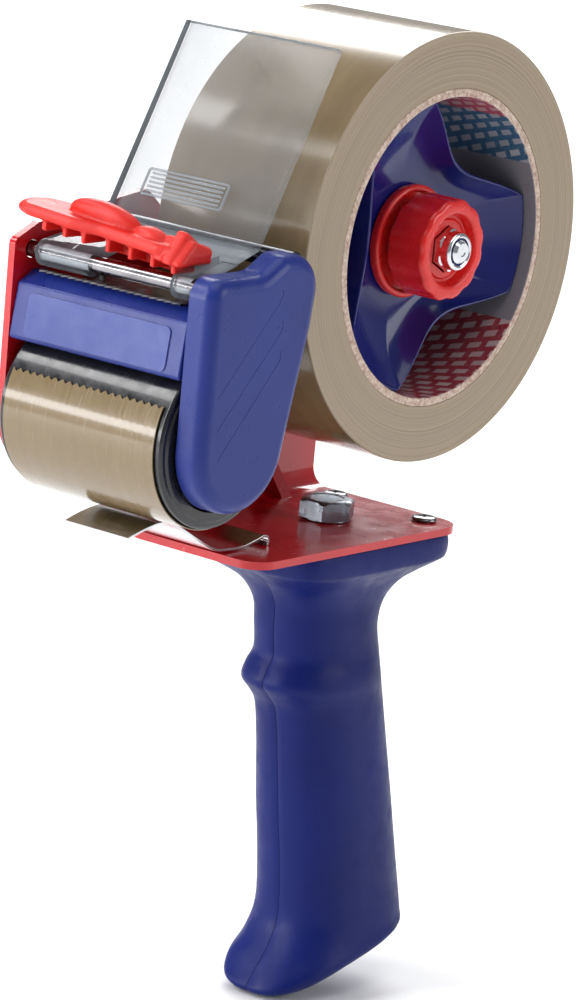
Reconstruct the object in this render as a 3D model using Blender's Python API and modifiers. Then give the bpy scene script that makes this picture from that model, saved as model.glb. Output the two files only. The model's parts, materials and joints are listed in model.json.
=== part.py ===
"""Hand-held tape gun: a bent steel frame on a two-part handle, a braked tape hub and a roller head.

Frame of the model: +X points back towards the tape roll, -X forward to the roller, -Y to the side
with the plastic cover, +Y to the steel side plate, +Z up. The origin is in the middle of the grip.
All sizes are in metres.
"""
import math

import bmesh
import bpy
from mathutils import Matrix, Vector

MM = 0.001
GAP = 0.3 * MM

# Driving dimensions -------------------------------------------------------------------------------
TAPE_WIDTH = 48 * MM
ROLL_RADIUS = 54.5 * MM
CORE_INNER_RADIUS = 38.1 * MM
CORE_WALL = 2.2 * MM
ROLLER_RADIUS = 21.3 * MM
ROLLER_WIDTH = 53 * MM

SHEET = 2 * MM
PLATE_BOTTOM = 65 * MM
PLATE_TOP = PLATE_BOTTOM + SHEET
PLATE_FRONT = -64 * MM
PLATE_REAR = 19 * MM
PLATE_NEAR = -23 * MM
SIDE_INNER = 28 * MM
SIDE_OUTER = SIDE_INNER + SHEET
BEND_INNER_RADIUS = 5 * MM
BEND_FRONT = -46 * MM

ROLL_AXIS = Vector((-3 * MM, 0, 141 * MM))
ROLLER_AXIS = Vector((-86.3 * MM, 0, 100.7 * MM))
ROD_AXIS = Vector((-98 * MM, 0, 138.6 * MM))
BAR_AXIS = Vector((-71.5 * MM, 0, 144.2 * MM))
BOLT_X = -9.5 * MM
PLATE_SCREW_X = 12.5 * MM
PLATE_SCREW_Y = 14.8 * MM
HANDLE_SCREWS = ((1 * MM, 35.2 * MM), (7 * MM, -44 * MM))
HANDLE_SCREW_FACE = 7 * MM
GUARD_SCREW = Vector((-92 * MM, 0, 127.5 * MM))

M8_RADIUS = 4 * MM
M8_ACROSS_FLATS = 13 * MM
M6_RADIUS = 3 * MM
M6_ACROSS_FLATS = 10 * MM
ROD_RADIUS = 2 * MM
BAR_RADIUS = 2.5 * MM
ROLLER_AXLE_RADIUS = 4 * MM
SMALL_SCREW_RADIUS = 1.9 * MM

COVER_RIM = -27 * MM
COVER_FACE = -35 * MM
SLOT_X = -46.5 * MM
CLAMP_NEAR = -11 * MM
CLAMP_FAR = 9.5 * MM

ROUND_STEPS = 32
ROLL_STEPS = 48
SMALL_STEPS = 16
SCREW_STEPS = 12

ALONG_Y = Matrix.Rotation(math.radians(-90), 4, "X")
SIDE_VIEW = Matrix.Rotation(math.radians(90), 4, "X")


# Scene, materials and object helpers --------------------------------------------------------------
def clear_scene():
    for obj in list(bpy.data.objects):
        bpy.data.objects.remove(obj, do_unlink=True)


def new_collection(name):
    collection = bpy.data.collections.new(name)
    bpy.context.scene.collection.children.link(collection)
    return collection


clear_scene()
PARTS = new_collection("tape_gun")
CUTTERS = new_collection("cutters")


def material(name, color, roughness, metallic=0.0):
    mat = bpy.data.materials.new(name)
    mat.use_nodes = True
    shader = mat.node_tree.nodes["Principled BSDF"]
    shader.inputs["Base Color"].default_value = (*color, 1.0)
    shader.inputs["Roughness"].default_value = roughness
    shader.inputs["Metallic"].default_value = metallic
    return mat


RED_PAINT = material("red_paint", (0.55, 0.01, 0.02), 0.25)
RED_PLASTIC = material("red_plastic", (0.75, 0.02, 0.02), 0.3)
BLUE_PLASTIC = material("blue_plastic", (0.02, 0.04, 0.27), 0.45)
GLOSSY_BLUE = material("glossy_blue", (0.01, 0.02, 0.2), 0.15)
CHROME = material("chrome", (0.8, 0.8, 0.8), 0.12, 1.0)
STEEL = material("steel", (0.55, 0.55, 0.57), 0.3, 1.0)
BLACK_STEEL = material("black_steel", (0.03, 0.03, 0.035), 0.25, 0.6)
RUBBER = material("black_rubber", (0.012, 0.012, 0.014), 0.6)
CORE_BOARD = material("core_board", (0.75, 0.7, 0.62), 0.8)
TAN_TAPE = material("tan_tape", (0.42, 0.33, 0.2), 0.2)
CLEAR = material("clear_plastic", (0.85, 0.88, 0.9), 0.05)


def link(name, mesh, mat=None):
    """A mesh as a named part, or as a hidden cutter when it has no material."""
    obj = bpy.data.objects.new(name, mesh)
    if mat is None:
        CUTTERS.objects.link(obj)
        obj.hide_render = True
        obj.display_type = "WIRE"
    else:
        mesh.materials.clear()
        mesh.materials.append(mat)
        PARTS.objects.link(obj)
    return obj


def turned(name, profile, centre, mat=None, steps=ROUND_STEPS, closed=False, turn=ALONG_Y):
    """A turned piece: (radius, height) points run down its outer side; the axis is +Y by default."""
    count = len(profile)
    mesh = bpy.data.meshes.new(name)
    points = [(radius, 0.0, height) for radius, height in profile]
    edges = [(i, i + 1) for i in range(count - 1)]
    if closed:
        edges.append((count - 1, 0))
    mesh.from_pydata(points, edges, [])
    obj = link(name, mesh, mat)
    obj.matrix_world = Matrix.Translation(centre) @ turn
    screw = obj.modifiers.new("turn", "SCREW")
    screw.axis = "Z"
    screw.angle = math.tau
    screw.steps = steps
    screw.render_steps = steps
    screw.use_merge_vertices = True
    screw.merge_threshold = 0.00001
    return obj


def cylinder(name, radius, start, end, mat=None, steps=SMALL_STEPS, chamfer=0.0):
    """A solid pin from one point to another, with chamfered ends."""
    axis = end - start
    half = axis.length / 2
    turn = axis.to_track_quat("Z", "Y").to_matrix().to_4x4()
    profile = [(0, half), (radius - chamfer, half)]
    if chamfer:
        profile.append((radius, half - chamfer))
        profile.append((radius, chamfer - half))
    profile += [(radius - chamfer, -half), (0, -half)]
    return turned(name, profile, (start + end) / 2, mat, steps, turn=turn)


def ring(name, inner, outer, near, far, centre, mat=None, steps=ROUND_STEPS, chamfer=0.0):
    """A tube along +Y between two Y values, with chamfered outer corners."""
    profile = [
        (inner, far),
        (outer - chamfer, far),
        (outer, far - chamfer),
        (outer, near + chamfer),
        (outer - chamfer, near),
        (inner, near),
    ]
    if not chamfer:
        profile = [(inner, far), (outer, far), (outer, near), (inner, near)]
    return turned(name, profile, centre, mat, steps, closed=True)


def box(name, low, high, mat=None):
    mesh = bpy.data.meshes.new(name)
    low = Vector(low)
    high = Vector(high)
    bm = bmesh.new()
    place = Matrix.Translation((low + high) / 2) @ Matrix.Diagonal((*(high - low), 1))
    bmesh.ops.create_cube(bm, size=1.0, matrix=place)
    bm.to_mesh(mesh)
    bm.free()
    return link(name, mesh, mat)


def rounded(points, steps=5):
    """An outline from corner points (x, y, radius), each corner as an arc."""
    outline = []
    count = len(points)
    for index in range(count):
        before = Vector(points[index - 1][:2])
        here = Vector(points[index][:2])
        after = Vector(points[(index + 1) % count][:2])
        radius = points[index][2]
        if radius == 0:
            outline.append(here)
            continue
        to_before = (before - here).normalized()
        to_after = (after - here).normalized()
        half_angle = to_before.angle(to_after) / 2
        reach = radius / math.tan(half_angle)
        centre = here + (to_before + to_after).normalized() * (radius / math.sin(half_angle))
        start = here + to_before * reach - centre
        end = here + to_after * reach - centre
        sweep = math.atan2(start.cross(end), start.dot(end))
        for step in range(steps + 1):
            outline.append(centre + Matrix.Rotation(sweep * step / steps, 2) @ start)
    return outline


def arc(centre, radius, start_deg, end_deg, steps):
    """Points on a circle in the side view, from one angle to another."""
    points = []
    for step in range(steps + 1):
        angle = math.radians(start_deg + (end_deg - start_deg) * step / steps)
        points.append(Vector((centre.x + radius * math.cos(angle), centre.z + radius * math.sin(angle))))
    return points


def outline_mesh(name, outline, thickness):
    """A filled 2D curve with thickness, as a welded mesh in its own XY plane."""
    curve = bpy.data.curves.new(name, "CURVE")
    curve.dimensions = "2D"
    curve.fill_mode = "BOTH"
    curve.extrude = thickness / 2
    spline = curve.splines.new("POLY")
    spline.points.add(len(outline) - 1)
    for point, place in zip(spline.points, outline):
        point.co = (place[0], place[1], 0, 1)
    spline.use_cyclic_u = True
    holder = bpy.data.objects.new(name, curve)
    bpy.context.scene.collection.objects.link(holder)
    graph = bpy.context.evaluated_depsgraph_get()
    mesh = bpy.data.meshes.new_from_object(holder.evaluated_get(graph))
    bpy.data.objects.remove(holder, do_unlink=True)
    bm = bmesh.new()
    bm.from_mesh(mesh)
    bmesh.ops.remove_doubles(bm, verts=bm.verts, dist=0.000005)
    bmesh.ops.recalc_face_normals(bm, faces=bm.faces)
    bm.to_mesh(mesh)
    bm.free()
    return mesh


def side_prism(name, outline, near, far, mat=None):
    """A side-view (x, z) outline given thickness from one Y value to another."""
    mesh = outline_mesh(name, outline, far - near)
    mesh.transform(Matrix.Translation((0, (near + far) / 2, 0)) @ SIDE_VIEW)
    return link(name, mesh, mat)


def top_prism(name, outline, low, high, mat=None):
    """A plan-view (x, y) outline given thickness from one Z value to another."""
    mesh = outline_mesh(name, outline, high - low)
    mesh.transform(Matrix.Translation((0, 0, (low + high) / 2)))
    return link(name, mesh, mat)


def front_prism(name, outline, start, end, mat=None):
    """A front-view (y, z) outline given thickness from one X value to another."""
    mesh = outline_mesh(name, outline, end - start)
    turn = Matrix(((0, 0, 1, (start + end) / 2), (1, 0, 0, 0), (0, 1, 0, 0), (0, 0, 0, 1)))
    mesh.transform(turn)
    return link(name, mesh, mat)


def boolean(obj, other, operation):
    modifier = obj.modifiers.new(other.name, "BOOLEAN")
    modifier.operation = operation
    modifier.object = other
    modifier.solver = "EXACT"


def cut(obj, *cutters):
    for cutter in cutters:
        boolean(obj, cutter, "DIFFERENCE")


def join(obj, *others):
    for other in others:
        boolean(obj, other, "UNION")


def set_origin(obj, place):
    """Move a mesh object's origin to a joint axis without moving its shape."""
    obj.data.transform(Matrix.Translation(-Vector(place)))
    obj.location = place


def cross_hole(name, radius, place, near, far, steps=SMALL_STEPS):
    """A cutter along Y."""
    start = Vector((place.x, near, place.z))
    end = Vector((place.x, far, place.z))
    return cylinder(name, radius, start, end, steps=steps)


def offset_y(place, y):
    return Vector((place.x, y, place.z))


# Frame --------------------------------------------------------------------------------------------
def side_plate_outline():
    boss_radius = 23 * MM
    foot = PLATE_TOP + BEND_INNER_RADIUS
    points = [Vector((PLATE_REAR, foot))]
    points += arc(ROLL_AXIS, boss_radius, -17, 112, 14)
    points += rounded([
        (-48 * MM, 143 * MM, 4 * MM),
        (-57.4 * MM, 150.6 * MM, 2 * MM),
        (-96 * MM, 145 * MM, 2 * MM),
        (-104.2 * MM, 141.2 * MM, 2 * MM),
        (-104.2 * MM, 110 * MM, 0),
    ])[0:-1]
    points += arc(ROLLER_AXIS, 17.9 * MM, 170, 262, 10)
    points.append(Vector((BEND_FRONT, foot)))
    return points


def bend_outline():
    """The L-shaped section of the sheet where the side plate meets the base plate."""
    centre = Vector((SIDE_INNER - BEND_INNER_RADIUS, 0, PLATE_TOP + BEND_INNER_RADIUS))
    leg_top = centre.z + 4 * MM
    leg_end = centre.x - 3 * MM
    outline = [Vector((leg_end, PLATE_TOP))]
    outline += arc(centre, BEND_INNER_RADIUS, -90, 0, 6)
    outline += [Vector((SIDE_INNER, leg_top)), Vector((SIDE_OUTER, leg_top))]
    outline += arc(centre, BEND_INNER_RADIUS + SHEET, 0, -90, 6)
    outline.append(Vector((leg_end, PLATE_BOTTOM)))
    return outline


def make_frame():
    """Base plate, bend and side plate: one bent sheet."""
    frame = side_prism("frame", side_plate_outline(), SIDE_INNER, SIDE_OUTER, RED_PAINT)
    bend = front_prism("frame_bend", bend_outline(), BEND_FRONT, PLATE_REAR)
    corner = 7 * MM
    flat_end = SIDE_INNER - BEND_INNER_RADIUS - 1 * MM
    base = top_prism("frame_base", rounded([
        (PLATE_FRONT, PLATE_NEAR, corner),
        (PLATE_REAR, PLATE_NEAR, corner),
        (PLATE_REAR, flat_end, 0),
        (PLATE_FRONT, flat_end, corner),
    ]), PLATE_BOTTOM, PLATE_TOP)
    gusset = front_prism("frame_gusset", [
        Vector((20 * MM, PLATE_TOP - 0.5 * MM)),
        Vector((29 * MM, PLATE_TOP - 0.5 * MM)),
        Vector((29 * MM, 77 * MM)),
        Vector((SIDE_INNER - 0.2 * MM, 77 * MM)),
    ], -2.5 * MM, 1.5 * MM)
    join(frame, bend, base, gusset)
    low = PLATE_BOTTOM - 5 * MM
    high = PLATE_TOP + 5 * MM
    cut(
        frame,
        cylinder("hole_bolt", M8_RADIUS + GAP, Vector((BOLT_X, 0, low)), Vector((BOLT_X, 0, high))),
        box("hole_slot", (SLOT_X - 1.6 * MM, CLAMP_NEAR - 0.8 * MM, low),
            (SLOT_X + 1.6 * MM, CLAMP_FAR + 0.8 * MM, high)),
    )
    for side in (-1, 1):
        place = Vector((PLATE_SCREW_X, side * PLATE_SCREW_Y, low))
        cut(frame, cylinder(f"hole_plate_{side}", SMALL_SCREW_RADIUS + GAP, place,
                            place + Vector((0, 0, high - low))))
    holes = (
        ("axle", ROLL_AXIS, M6_RADIUS + GAP),
        ("roller", ROLLER_AXIS, SMALL_SCREW_RADIUS + GAP),
        ("rod", ROD_AXIS, ROD_RADIUS + GAP),
        ("bar", BAR_AXIS, SMALL_SCREW_RADIUS + GAP),
        ("guard", GUARD_SCREW, SMALL_SCREW_RADIUS + GAP),
    )
    for name, place, radius in holes:
        cut(frame, cross_hole(f"hole_{name}", radius, place, SIDE_INNER - 3 * MM, SIDE_OUTER + 3 * MM))


# Fasteners ----------------------------------------------------------------------------------------
def hex_head(name, across_flats, low, high, centre, turn):
    """A hexagonal prism along +Z of the turned frame, for a bolt head or a nut."""
    corner = across_flats / math.sqrt(3)
    mesh = bpy.data.meshes.new(name)
    bm = bmesh.new()
    bmesh.ops.create_cone(
        bm, cap_ends=True, segments=6, radius1=corner, radius2=corner, depth=high - low,
        matrix=Matrix.Translation((0, 0, (low + high) / 2)),
    )
    bm.to_mesh(mesh)
    bm.free()
    mesh.transform(Matrix.Translation(centre) @ turn)
    return mesh


def make_bolt(name, radius, head, head_face, direction, length):
    """A hex bolt with head = (across flats, height): the head stands on head_face, and the shank runs
    along direction."""
    across_flats, head_height = head
    turn = direction.to_track_quat("Z", "Y").to_matrix().to_4x4()
    bolt = link(name, hex_head(name, across_flats, -head_height, 0, head_face, turn), CHROME)
    start = head_face - direction * (head_height / 2)
    shank = cylinder(f"{name}_shank", radius, start, head_face + direction * length, chamfer=0.6 * MM)
    join(bolt, shank)


def pan_screw(name, head_face, direction, length, mat=STEEL, head_radius=3.4 * MM, head=2.2 * MM):
    """A small pan-head screw: the head stands on head_face and the shank runs along direction."""
    turn = direction.to_track_quat("Z", "Y").to_matrix().to_4x4()
    profile = [
        (0, length),
        (SMALL_SCREW_RADIUS * 0.6, length),
        (SMALL_SCREW_RADIUS, length - 1.5 * MM),
        (SMALL_SCREW_RADIUS, 0),
        (head_radius, 0),
        (head_radius, -head * 0.4),
        (head_radius * 0.6, -head),
        (0, -head),
    ]
    return turned(name, profile, head_face, mat, SCREW_STEPS, turn=turn)


def make_handle_fasteners():
    down = Vector((0, 0, -1))
    make_bolt("handle_bolt", M8_RADIUS, (M8_ACROSS_FLATS, 5.3 * MM),
              Vector((BOLT_X, 0, PLATE_TOP + GAP)), down, 30 * MM)
    nut_low = 40 * MM
    nut_high = 46.5 * MM
    half = M8_ACROSS_FLATS / 2
    nut = box("handle_nut", (BOLT_X - half, -half, nut_low), (BOLT_X + half, half, nut_high), STEEL)
    cut(nut, cylinder("nut_bore", M8_RADIUS + GAP, Vector((BOLT_X, 0, nut_low - 2 * MM)),
                      Vector((BOLT_X, 0, nut_high + 2 * MM))))
    for side, label in ((-1, "near"), (1, "far")):
        face = Vector((PLATE_SCREW_X, side * PLATE_SCREW_Y, PLATE_TOP + GAP))
        pan_screw(f"plate_screw_{label}", face, down, 10 * MM, head=1.1 * MM)
    for index, (x, z) in enumerate(HANDLE_SCREWS, start=1):
        pan_screw(f"handle_screw_{index}", Vector((x, HANDLE_SCREW_FACE, z)), Vector((0, -1, 0)), 16 * MM)


# Handle -------------------------------------------------------------------------------------------
# Each section: height, centre X, half depth in X, half width in Y, squareness, rise towards the rear.
HANDLE_SECTIONS = (
    (64.7, -11.0, 30.3, 21.8, 7.0, 0.0),
    (62.0, -10.8, 30.6, 22.1, 7.0, 0.0),
    (58.0, -10.4, 30.2, 21.7, 6.0, 0.0),
    (55.5, -9.6, 26.1, 18.7, 4.5, 0.0),
    (52.0, -9.4, 21.3, 15.5, 3.4, 0.0),
    (46.5, -9.4, 18.0, 13.3, 2.8, 0.0),
    (40.0, -9.5, 17.4, 13.0, 2.5, 0.0),
    (33.0, -8.3, 17.7, 13.2, 2.5, 0.0),
    (29.0, -9.1, 19.1, 14.1, 2.5, 0.0),
    (25.5, -9.2, 20.0, 14.5, 2.5, 0.0),
    (22.0, -7.0, 19.0, 13.9, 2.5, 0.0),
    (18.0, -5.0, 18.1, 13.7, 2.5, 0.0),
    (8.0, -2.6, 18.3, 13.9, 2.5, 0.0),
    (-8.0, 0.7, 19.0, 14.6, 2.5, 0.0),
    (-24.0, 4.2, 19.5, 14.9, 2.5, 0.03),
    (-36.7, 6.3, 20.3, 15.1, 2.6, 0.09),
    (-43.4, 5.1, 22.4, 15.8, 2.7, 0.16),
    (-47.8, 2.5, 24.4, 16.6, 2.8, 0.2),
    (-51.3, -2.0, 22.3, 14.5, 2.8, 0.23),
    (-53.4, -2.4, 20.0, 12.0, 2.6, 0.25),
)
HANDLE_SIDES = 24
HANDLE_WALL = 3 * MM
CAVITY_TOP = 30 * MM
CAVITY_BOTTOM = -40 * MM


def superellipse(angle, squareness):
    """A point on a unit superellipse, from a circle at 2 to a square at a high squareness."""
    cosine = math.cos(angle)
    sine = math.sin(angle)
    power = 2 / squareness
    x = math.copysign(abs(cosine) ** power, cosine)
    y = math.copysign(abs(sine) ** power, sine)
    return x, y


def handle_loft(name, sections, inset):
    """A closed loft through the handle's sections, drawn in by inset."""
    bm = bmesh.new()
    rings = []
    for height, centre, depth, width, squareness, rise in sections:
        verts = []
        for side in range(HANDLE_SIDES):
            x, y = superellipse(math.tau * (side + 0.5) / HANDLE_SIDES, squareness)
            offset = x * (depth * MM - inset)
            place = (centre * MM + offset, y * (width * MM - inset), height * MM + rise * offset)
            verts.append(bm.verts.new(place))
        rings.append(verts)
    for upper, lower in zip(rings, rings[1:]):
        for side in range(HANDLE_SIDES):
            after = (side + 1) % HANDLE_SIDES
            bm.faces.new((upper[side], upper[after], lower[after], lower[side]))
    bm.faces.new(list(reversed(rings[0])))
    bm.faces.new(rings[-1])
    bmesh.ops.recalc_face_normals(bm, faces=bm.faces)
    mesh = bpy.data.meshes.new(name)
    bm.to_mesh(mesh)
    bm.free()
    return mesh


def make_handle():
    """Two moulded halves that meet on the middle plane, hollow in the grip."""
    far_away = 60 * MM
    cavity_sections = [s for s in HANDLE_SECTIONS if CAVITY_BOTTOM < s[0] * MM < CAVITY_TOP]
    cavity = link("handle_cavity", handle_loft("handle_cavity", cavity_sections, HANDLE_WALL))
    bolt_bore = cylinder("handle_bolt_bore", M8_RADIUS + 2 * GAP, Vector((BOLT_X, 0, 34 * MM)),
                         Vector((BOLT_X, 0, 70 * MM)))
    half = M8_ACROSS_FLATS / 2 + GAP
    pocket = box("handle_nut_pocket", (BOLT_X - half, -half, 39.7 * MM), (BOLT_X + half, half, 46.8 * MM))
    for side, label in ((-1, "near"), (1, "far")):
        name = f"handle_half_{label}"
        shell = link(name, handle_loft(name, HANDLE_SECTIONS, 0), BLUE_PLASTIC)
        low_y = GAP / 2 - far_away if side > 0 else -GAP / 2
        other_side = box(f"{name}_trim", (-far_away, low_y, -80 * MM),
                         (far_away, low_y + far_away, 80 * MM))
        cut(shell, other_side, cavity, bolt_bore, pocket)
        screw = Vector((PLATE_SCREW_X, side * PLATE_SCREW_Y, 57 * MM))
        pilot_top = screw + Vector((0, 0, 15 * MM))
        cut(shell, cylinder(f"{name}_pilot", SMALL_SCREW_RADIUS + GAP, screw, pilot_top))
        for index, (x, z) in enumerate(HANDLE_SCREWS, start=1):
            place = Vector((x, 0, z))
            hole = SMALL_SCREW_RADIUS + GAP
            cut(shell, turned(f"{name}_screw_hole_{index}", [
                (0, 24 * MM),
                (4.2 * MM, 24 * MM),
                (4.2 * MM, HANDLE_SCREW_FACE - GAP),
                (hole, HANDLE_SCREW_FACE - GAP),
                (hole, HANDLE_SCREW_FACE - 17 * MM),
                (0, HANDLE_SCREW_FACE - 17 * MM),
            ], place, steps=SMALL_STEPS))


# Tape hub and its brake ---------------------------------------------------------------------------
HUB_ARMS = 3
HUB_RADIUS = CORE_INNER_RADIUS - 0.4 * MM
HUB_WAIST = 22.7 * MM
HUB_ARM_HALF_DEG = 19.5
HUB_TURN_DEG = -3
HUB_NEAR = -20.5 * MM
HUB_FAR = 24.5 * MM
HUB_FLOOR = -11.3 * MM
HUB_BORE = M6_RADIUS + GAP


def hub_outline():
    """Three arms with round ends on the core, joined by concave waists."""
    points = []
    pitch = 360 / HUB_ARMS
    waist_half = pitch / 2 - HUB_ARM_HALF_DEG
    for arm in range(HUB_ARMS):
        middle = HUB_TURN_DEG + arm * pitch
        for point in arc(Vector((0, 0, 0)), HUB_RADIUS, middle - HUB_ARM_HALF_DEG,
                         middle + HUB_ARM_HALF_DEG, 6):
            points.append(point)
        for step in range(1, 10):
            across = -1 + step / 5
            angle = math.radians(middle + pitch / 2 + across * waist_half)
            radius = HUB_WAIST + (HUB_RADIUS - HUB_WAIST) * abs(across) ** 2.2
            points.append(Vector((radius * math.cos(angle), radius * math.sin(angle))))
    return points


def make_hub():
    """The core holder, dished on the near side and hollow behind."""
    place = Matrix.Translation(ROLL_AXIS)
    hub = side_prism("hub", hub_outline(), HUB_NEAR, HUB_FAR, GLOSSY_BLUE)
    hub.data.transform(place)
    dish = turned("hub_dish", [
        (0, HUB_FLOOR),
        (17 * MM, HUB_FLOOR),
        (24 * MM, HUB_FLOOR - 2.2 * MM),
        (31 * MM, HUB_FLOOR - 5.5 * MM),
        (36 * MM, HUB_NEAR + 0.5 * MM),
        (37 * MM, HUB_NEAR - 2 * MM),
        (0, HUB_NEAR - 2 * MM),
    ], ROLL_AXIS)
    back = ring("hub_back", 11 * MM, 19.5 * MM, HUB_FLOOR + 3 * MM, HUB_FAR + 3 * MM, ROLL_AXIS)
    counterbore = cross_hole("hub_counterbore", 11.2 * MM, ROLL_AXIS, 15 * MM, HUB_FAR + 3 * MM)
    bore = cross_hole("hub_bore", HUB_BORE, ROLL_AXIS, -40 * MM, 40 * MM)
    cut(hub, dish, back, counterbore, bore)
    set_origin(hub, ROLL_AXIS)


def make_tape():
    half = TAPE_WIDTH / 2
    core_outer = CORE_INNER_RADIUS + CORE_WALL
    ring("tape_core", CORE_INNER_RADIUS, core_outer, -half, half, ROLL_AXIS, CORE_BOARD, ROLL_STEPS)
    ring("tape_roll", core_outer + GAP, ROLL_RADIUS, -half, half, ROLL_AXIS, TAN_TAPE, ROLL_STEPS)


KNOB_BACK = -16 * MM
KNOB_FACE = -27 * MM
KNOB_RADIUS = 13 * MM
KNOB_LOBES = 12
KNOB_FLOOR = KNOB_FACE + 6 * MM
KNOB_SHELF = -24.6 * MM
KNOB_POCKET = KNOB_FLOOR + 1.7 * MM
FLANGE_FAR = HUB_FLOOR - GAP
FLANGE_NEAR = FLANGE_FAR - 1.2 * MM
WASHER_NEAR = KNOB_POCKET + GAP
WASHER_FAR = WASHER_NEAR + 1 * MM
NUT_HEIGHT = 8 * MM
SPRING_RADIUS = 9.6 * MM
SPRING_WIRE = 0.6 * MM
SPRING_TURNS = 2.4
SPRING_STEPS = 12


def knob_outline():
    """A scalloped grip: shallow round flutes between the lobes."""
    points = []
    steps = KNOB_LOBES * 4
    for step in range(steps):
        angle = math.tau * step / steps
        radius = KNOB_RADIUS - 0.55 * MM * (1 - math.cos(angle * KNOB_LOBES)) / 2
        points.append(Vector((radius * math.cos(angle), radius * math.sin(angle))))
    return points


def make_brake():
    """Everything that the axle carries in front of the hub, from the flange out to the lock nut."""
    rim = FLANGE_FAR - 2.6 * MM
    turned("brake_flange", [
        (HUB_BORE, FLANGE_FAR),
        (14.3 * MM, FLANGE_FAR),
        (14.5 * MM, FLANGE_FAR - 1.6 * MM),
        (14.2 * MM, rim),
        (13.2 * MM, rim),
        (12.8 * MM, FLANGE_NEAR),
        (HUB_BORE, FLANGE_NEAR),
    ], ROLL_AXIS, RED_PLASTIC, closed=True)
    make_spring()
    ring("spring_washer", HUB_BORE, 10.2 * MM, WASHER_NEAR, WASHER_FAR, ROLL_AXIS, STEEL, SMALL_STEPS)
    make_knob()
    make_lock_nut()


def make_spring():
    """A coil spring round the axle, pressed between the flange and the washer in the knob."""
    curve = bpy.data.curves.new("brake_spring", "CURVE")
    curve.dimensions = "3D"
    curve.bevel_depth = SPRING_WIRE
    curve.bevel_resolution = 2
    curve.use_fill_caps = True
    spline = curve.splines.new("POLY")
    count = round(SPRING_TURNS * SPRING_STEPS)
    spline.points.add(count)
    start = FLANGE_NEAR - GAP - SPRING_WIRE
    end = WASHER_FAR + GAP + SPRING_WIRE
    for step, point in enumerate(spline.points):
        angle = math.tau * step / SPRING_STEPS
        around = Vector((math.cos(angle), 0, math.sin(angle))) * SPRING_RADIUS
        along = Vector((0, start + (end - start) * step / count, 0))
        point.co = (*(ROLL_AXIS + around + along), 1)
    holder = bpy.data.objects.new("brake_spring_path", curve)
    bpy.context.scene.collection.objects.link(holder)
    graph = bpy.context.evaluated_depsgraph_get()
    mesh = bpy.data.meshes.new_from_object(holder.evaluated_get(graph))
    bpy.data.objects.remove(holder, do_unlink=True)
    bm = bmesh.new()
    bm.from_mesh(mesh)
    bmesh.ops.remove_doubles(bm, verts=bm.verts, dist=0.000005)
    bm.to_mesh(mesh)
    bm.free()
    link("brake_spring", mesh, STEEL)


def make_knob():
    """The hand knob: a spring pocket behind, and a recess with a hexagon socket for the nut in front."""
    knob = side_prism("brake_knob", knob_outline(), KNOB_FACE, KNOB_BACK, RED_PLASTIC)
    knob.data.transform(Matrix.Translation(ROLL_AXIS))
    pocket = cross_hole("knob_pocket", 11.2 * MM, ROLL_AXIS, KNOB_POCKET, KNOB_BACK + 2 * MM, ROUND_STEPS)
    recess = cross_hole("knob_recess", 9.2 * MM, ROLL_AXIS, KNOB_FACE - 2 * MM, KNOB_SHELF, ROUND_STEPS)
    socket = link("knob_socket", hex_head("knob_socket", M6_ACROSS_FLATS + 2 * GAP, KNOB_SHELF - 1 * MM,
                                          KNOB_FLOOR, ROLL_AXIS, ALONG_Y))
    bore = cross_hole("knob_bore", HUB_BORE, ROLL_AXIS, -40 * MM, 0)
    cut(knob, pocket, recess, socket, bore)
    set_origin(knob, ROLL_AXIS)


def make_lock_nut():
    """A high lock nut: a hexagon with a round collar on its outer end."""
    nut_far = KNOB_FLOOR - GAP
    nut_near = nut_far - NUT_HEIGHT
    collar_step = 2.4 * MM
    hexagon = hex_head("axle_nut", M6_ACROSS_FLATS, nut_near + collar_step, nut_far, ROLL_AXIS, ALONG_Y)
    nut = link("axle_nut", hexagon, CHROME)
    join(nut, cross_hole("nut_collar", 4.8 * MM, ROLL_AXIS, nut_near, nut_far - collar_step))
    cut(nut, cross_hole("lock_nut_bore", M6_RADIUS + GAP, ROLL_AXIS, -40 * MM, 0))
    set_origin(nut, ROLL_AXIS)


def make_axle():
    """The axle bolt through the side plate, clamped by a jam nut, with a washer before the hub."""
    toward_near = Vector((0, -1, 0))
    head_face = offset_y(ROLL_AXIS, SIDE_OUTER + GAP)
    make_bolt("axle_bolt", M6_RADIUS, (M6_ACROSS_FLATS, 4 * MM), head_face, toward_near, 60.3 * MM)
    nut_far = SIDE_INNER - GAP
    nut_near = nut_far - 5 * MM
    hexagon = hex_head("axle_jam_nut", M6_ACROSS_FLATS, nut_near, nut_far, ROLL_AXIS, ALONG_Y)
    nut = link("axle_jam_nut", hexagon, STEEL)
    cut(nut, cross_hole("jam_nut_bore", M6_RADIUS + GAP, ROLL_AXIS, 10 * MM, 40 * MM))
    washer_far = nut_near - GAP
    ring("hub_washer", HUB_BORE, 9 * MM, washer_far - 1.6 * MM, washer_far, ROLL_AXIS, STEEL,
         SMALL_STEPS)


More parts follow.
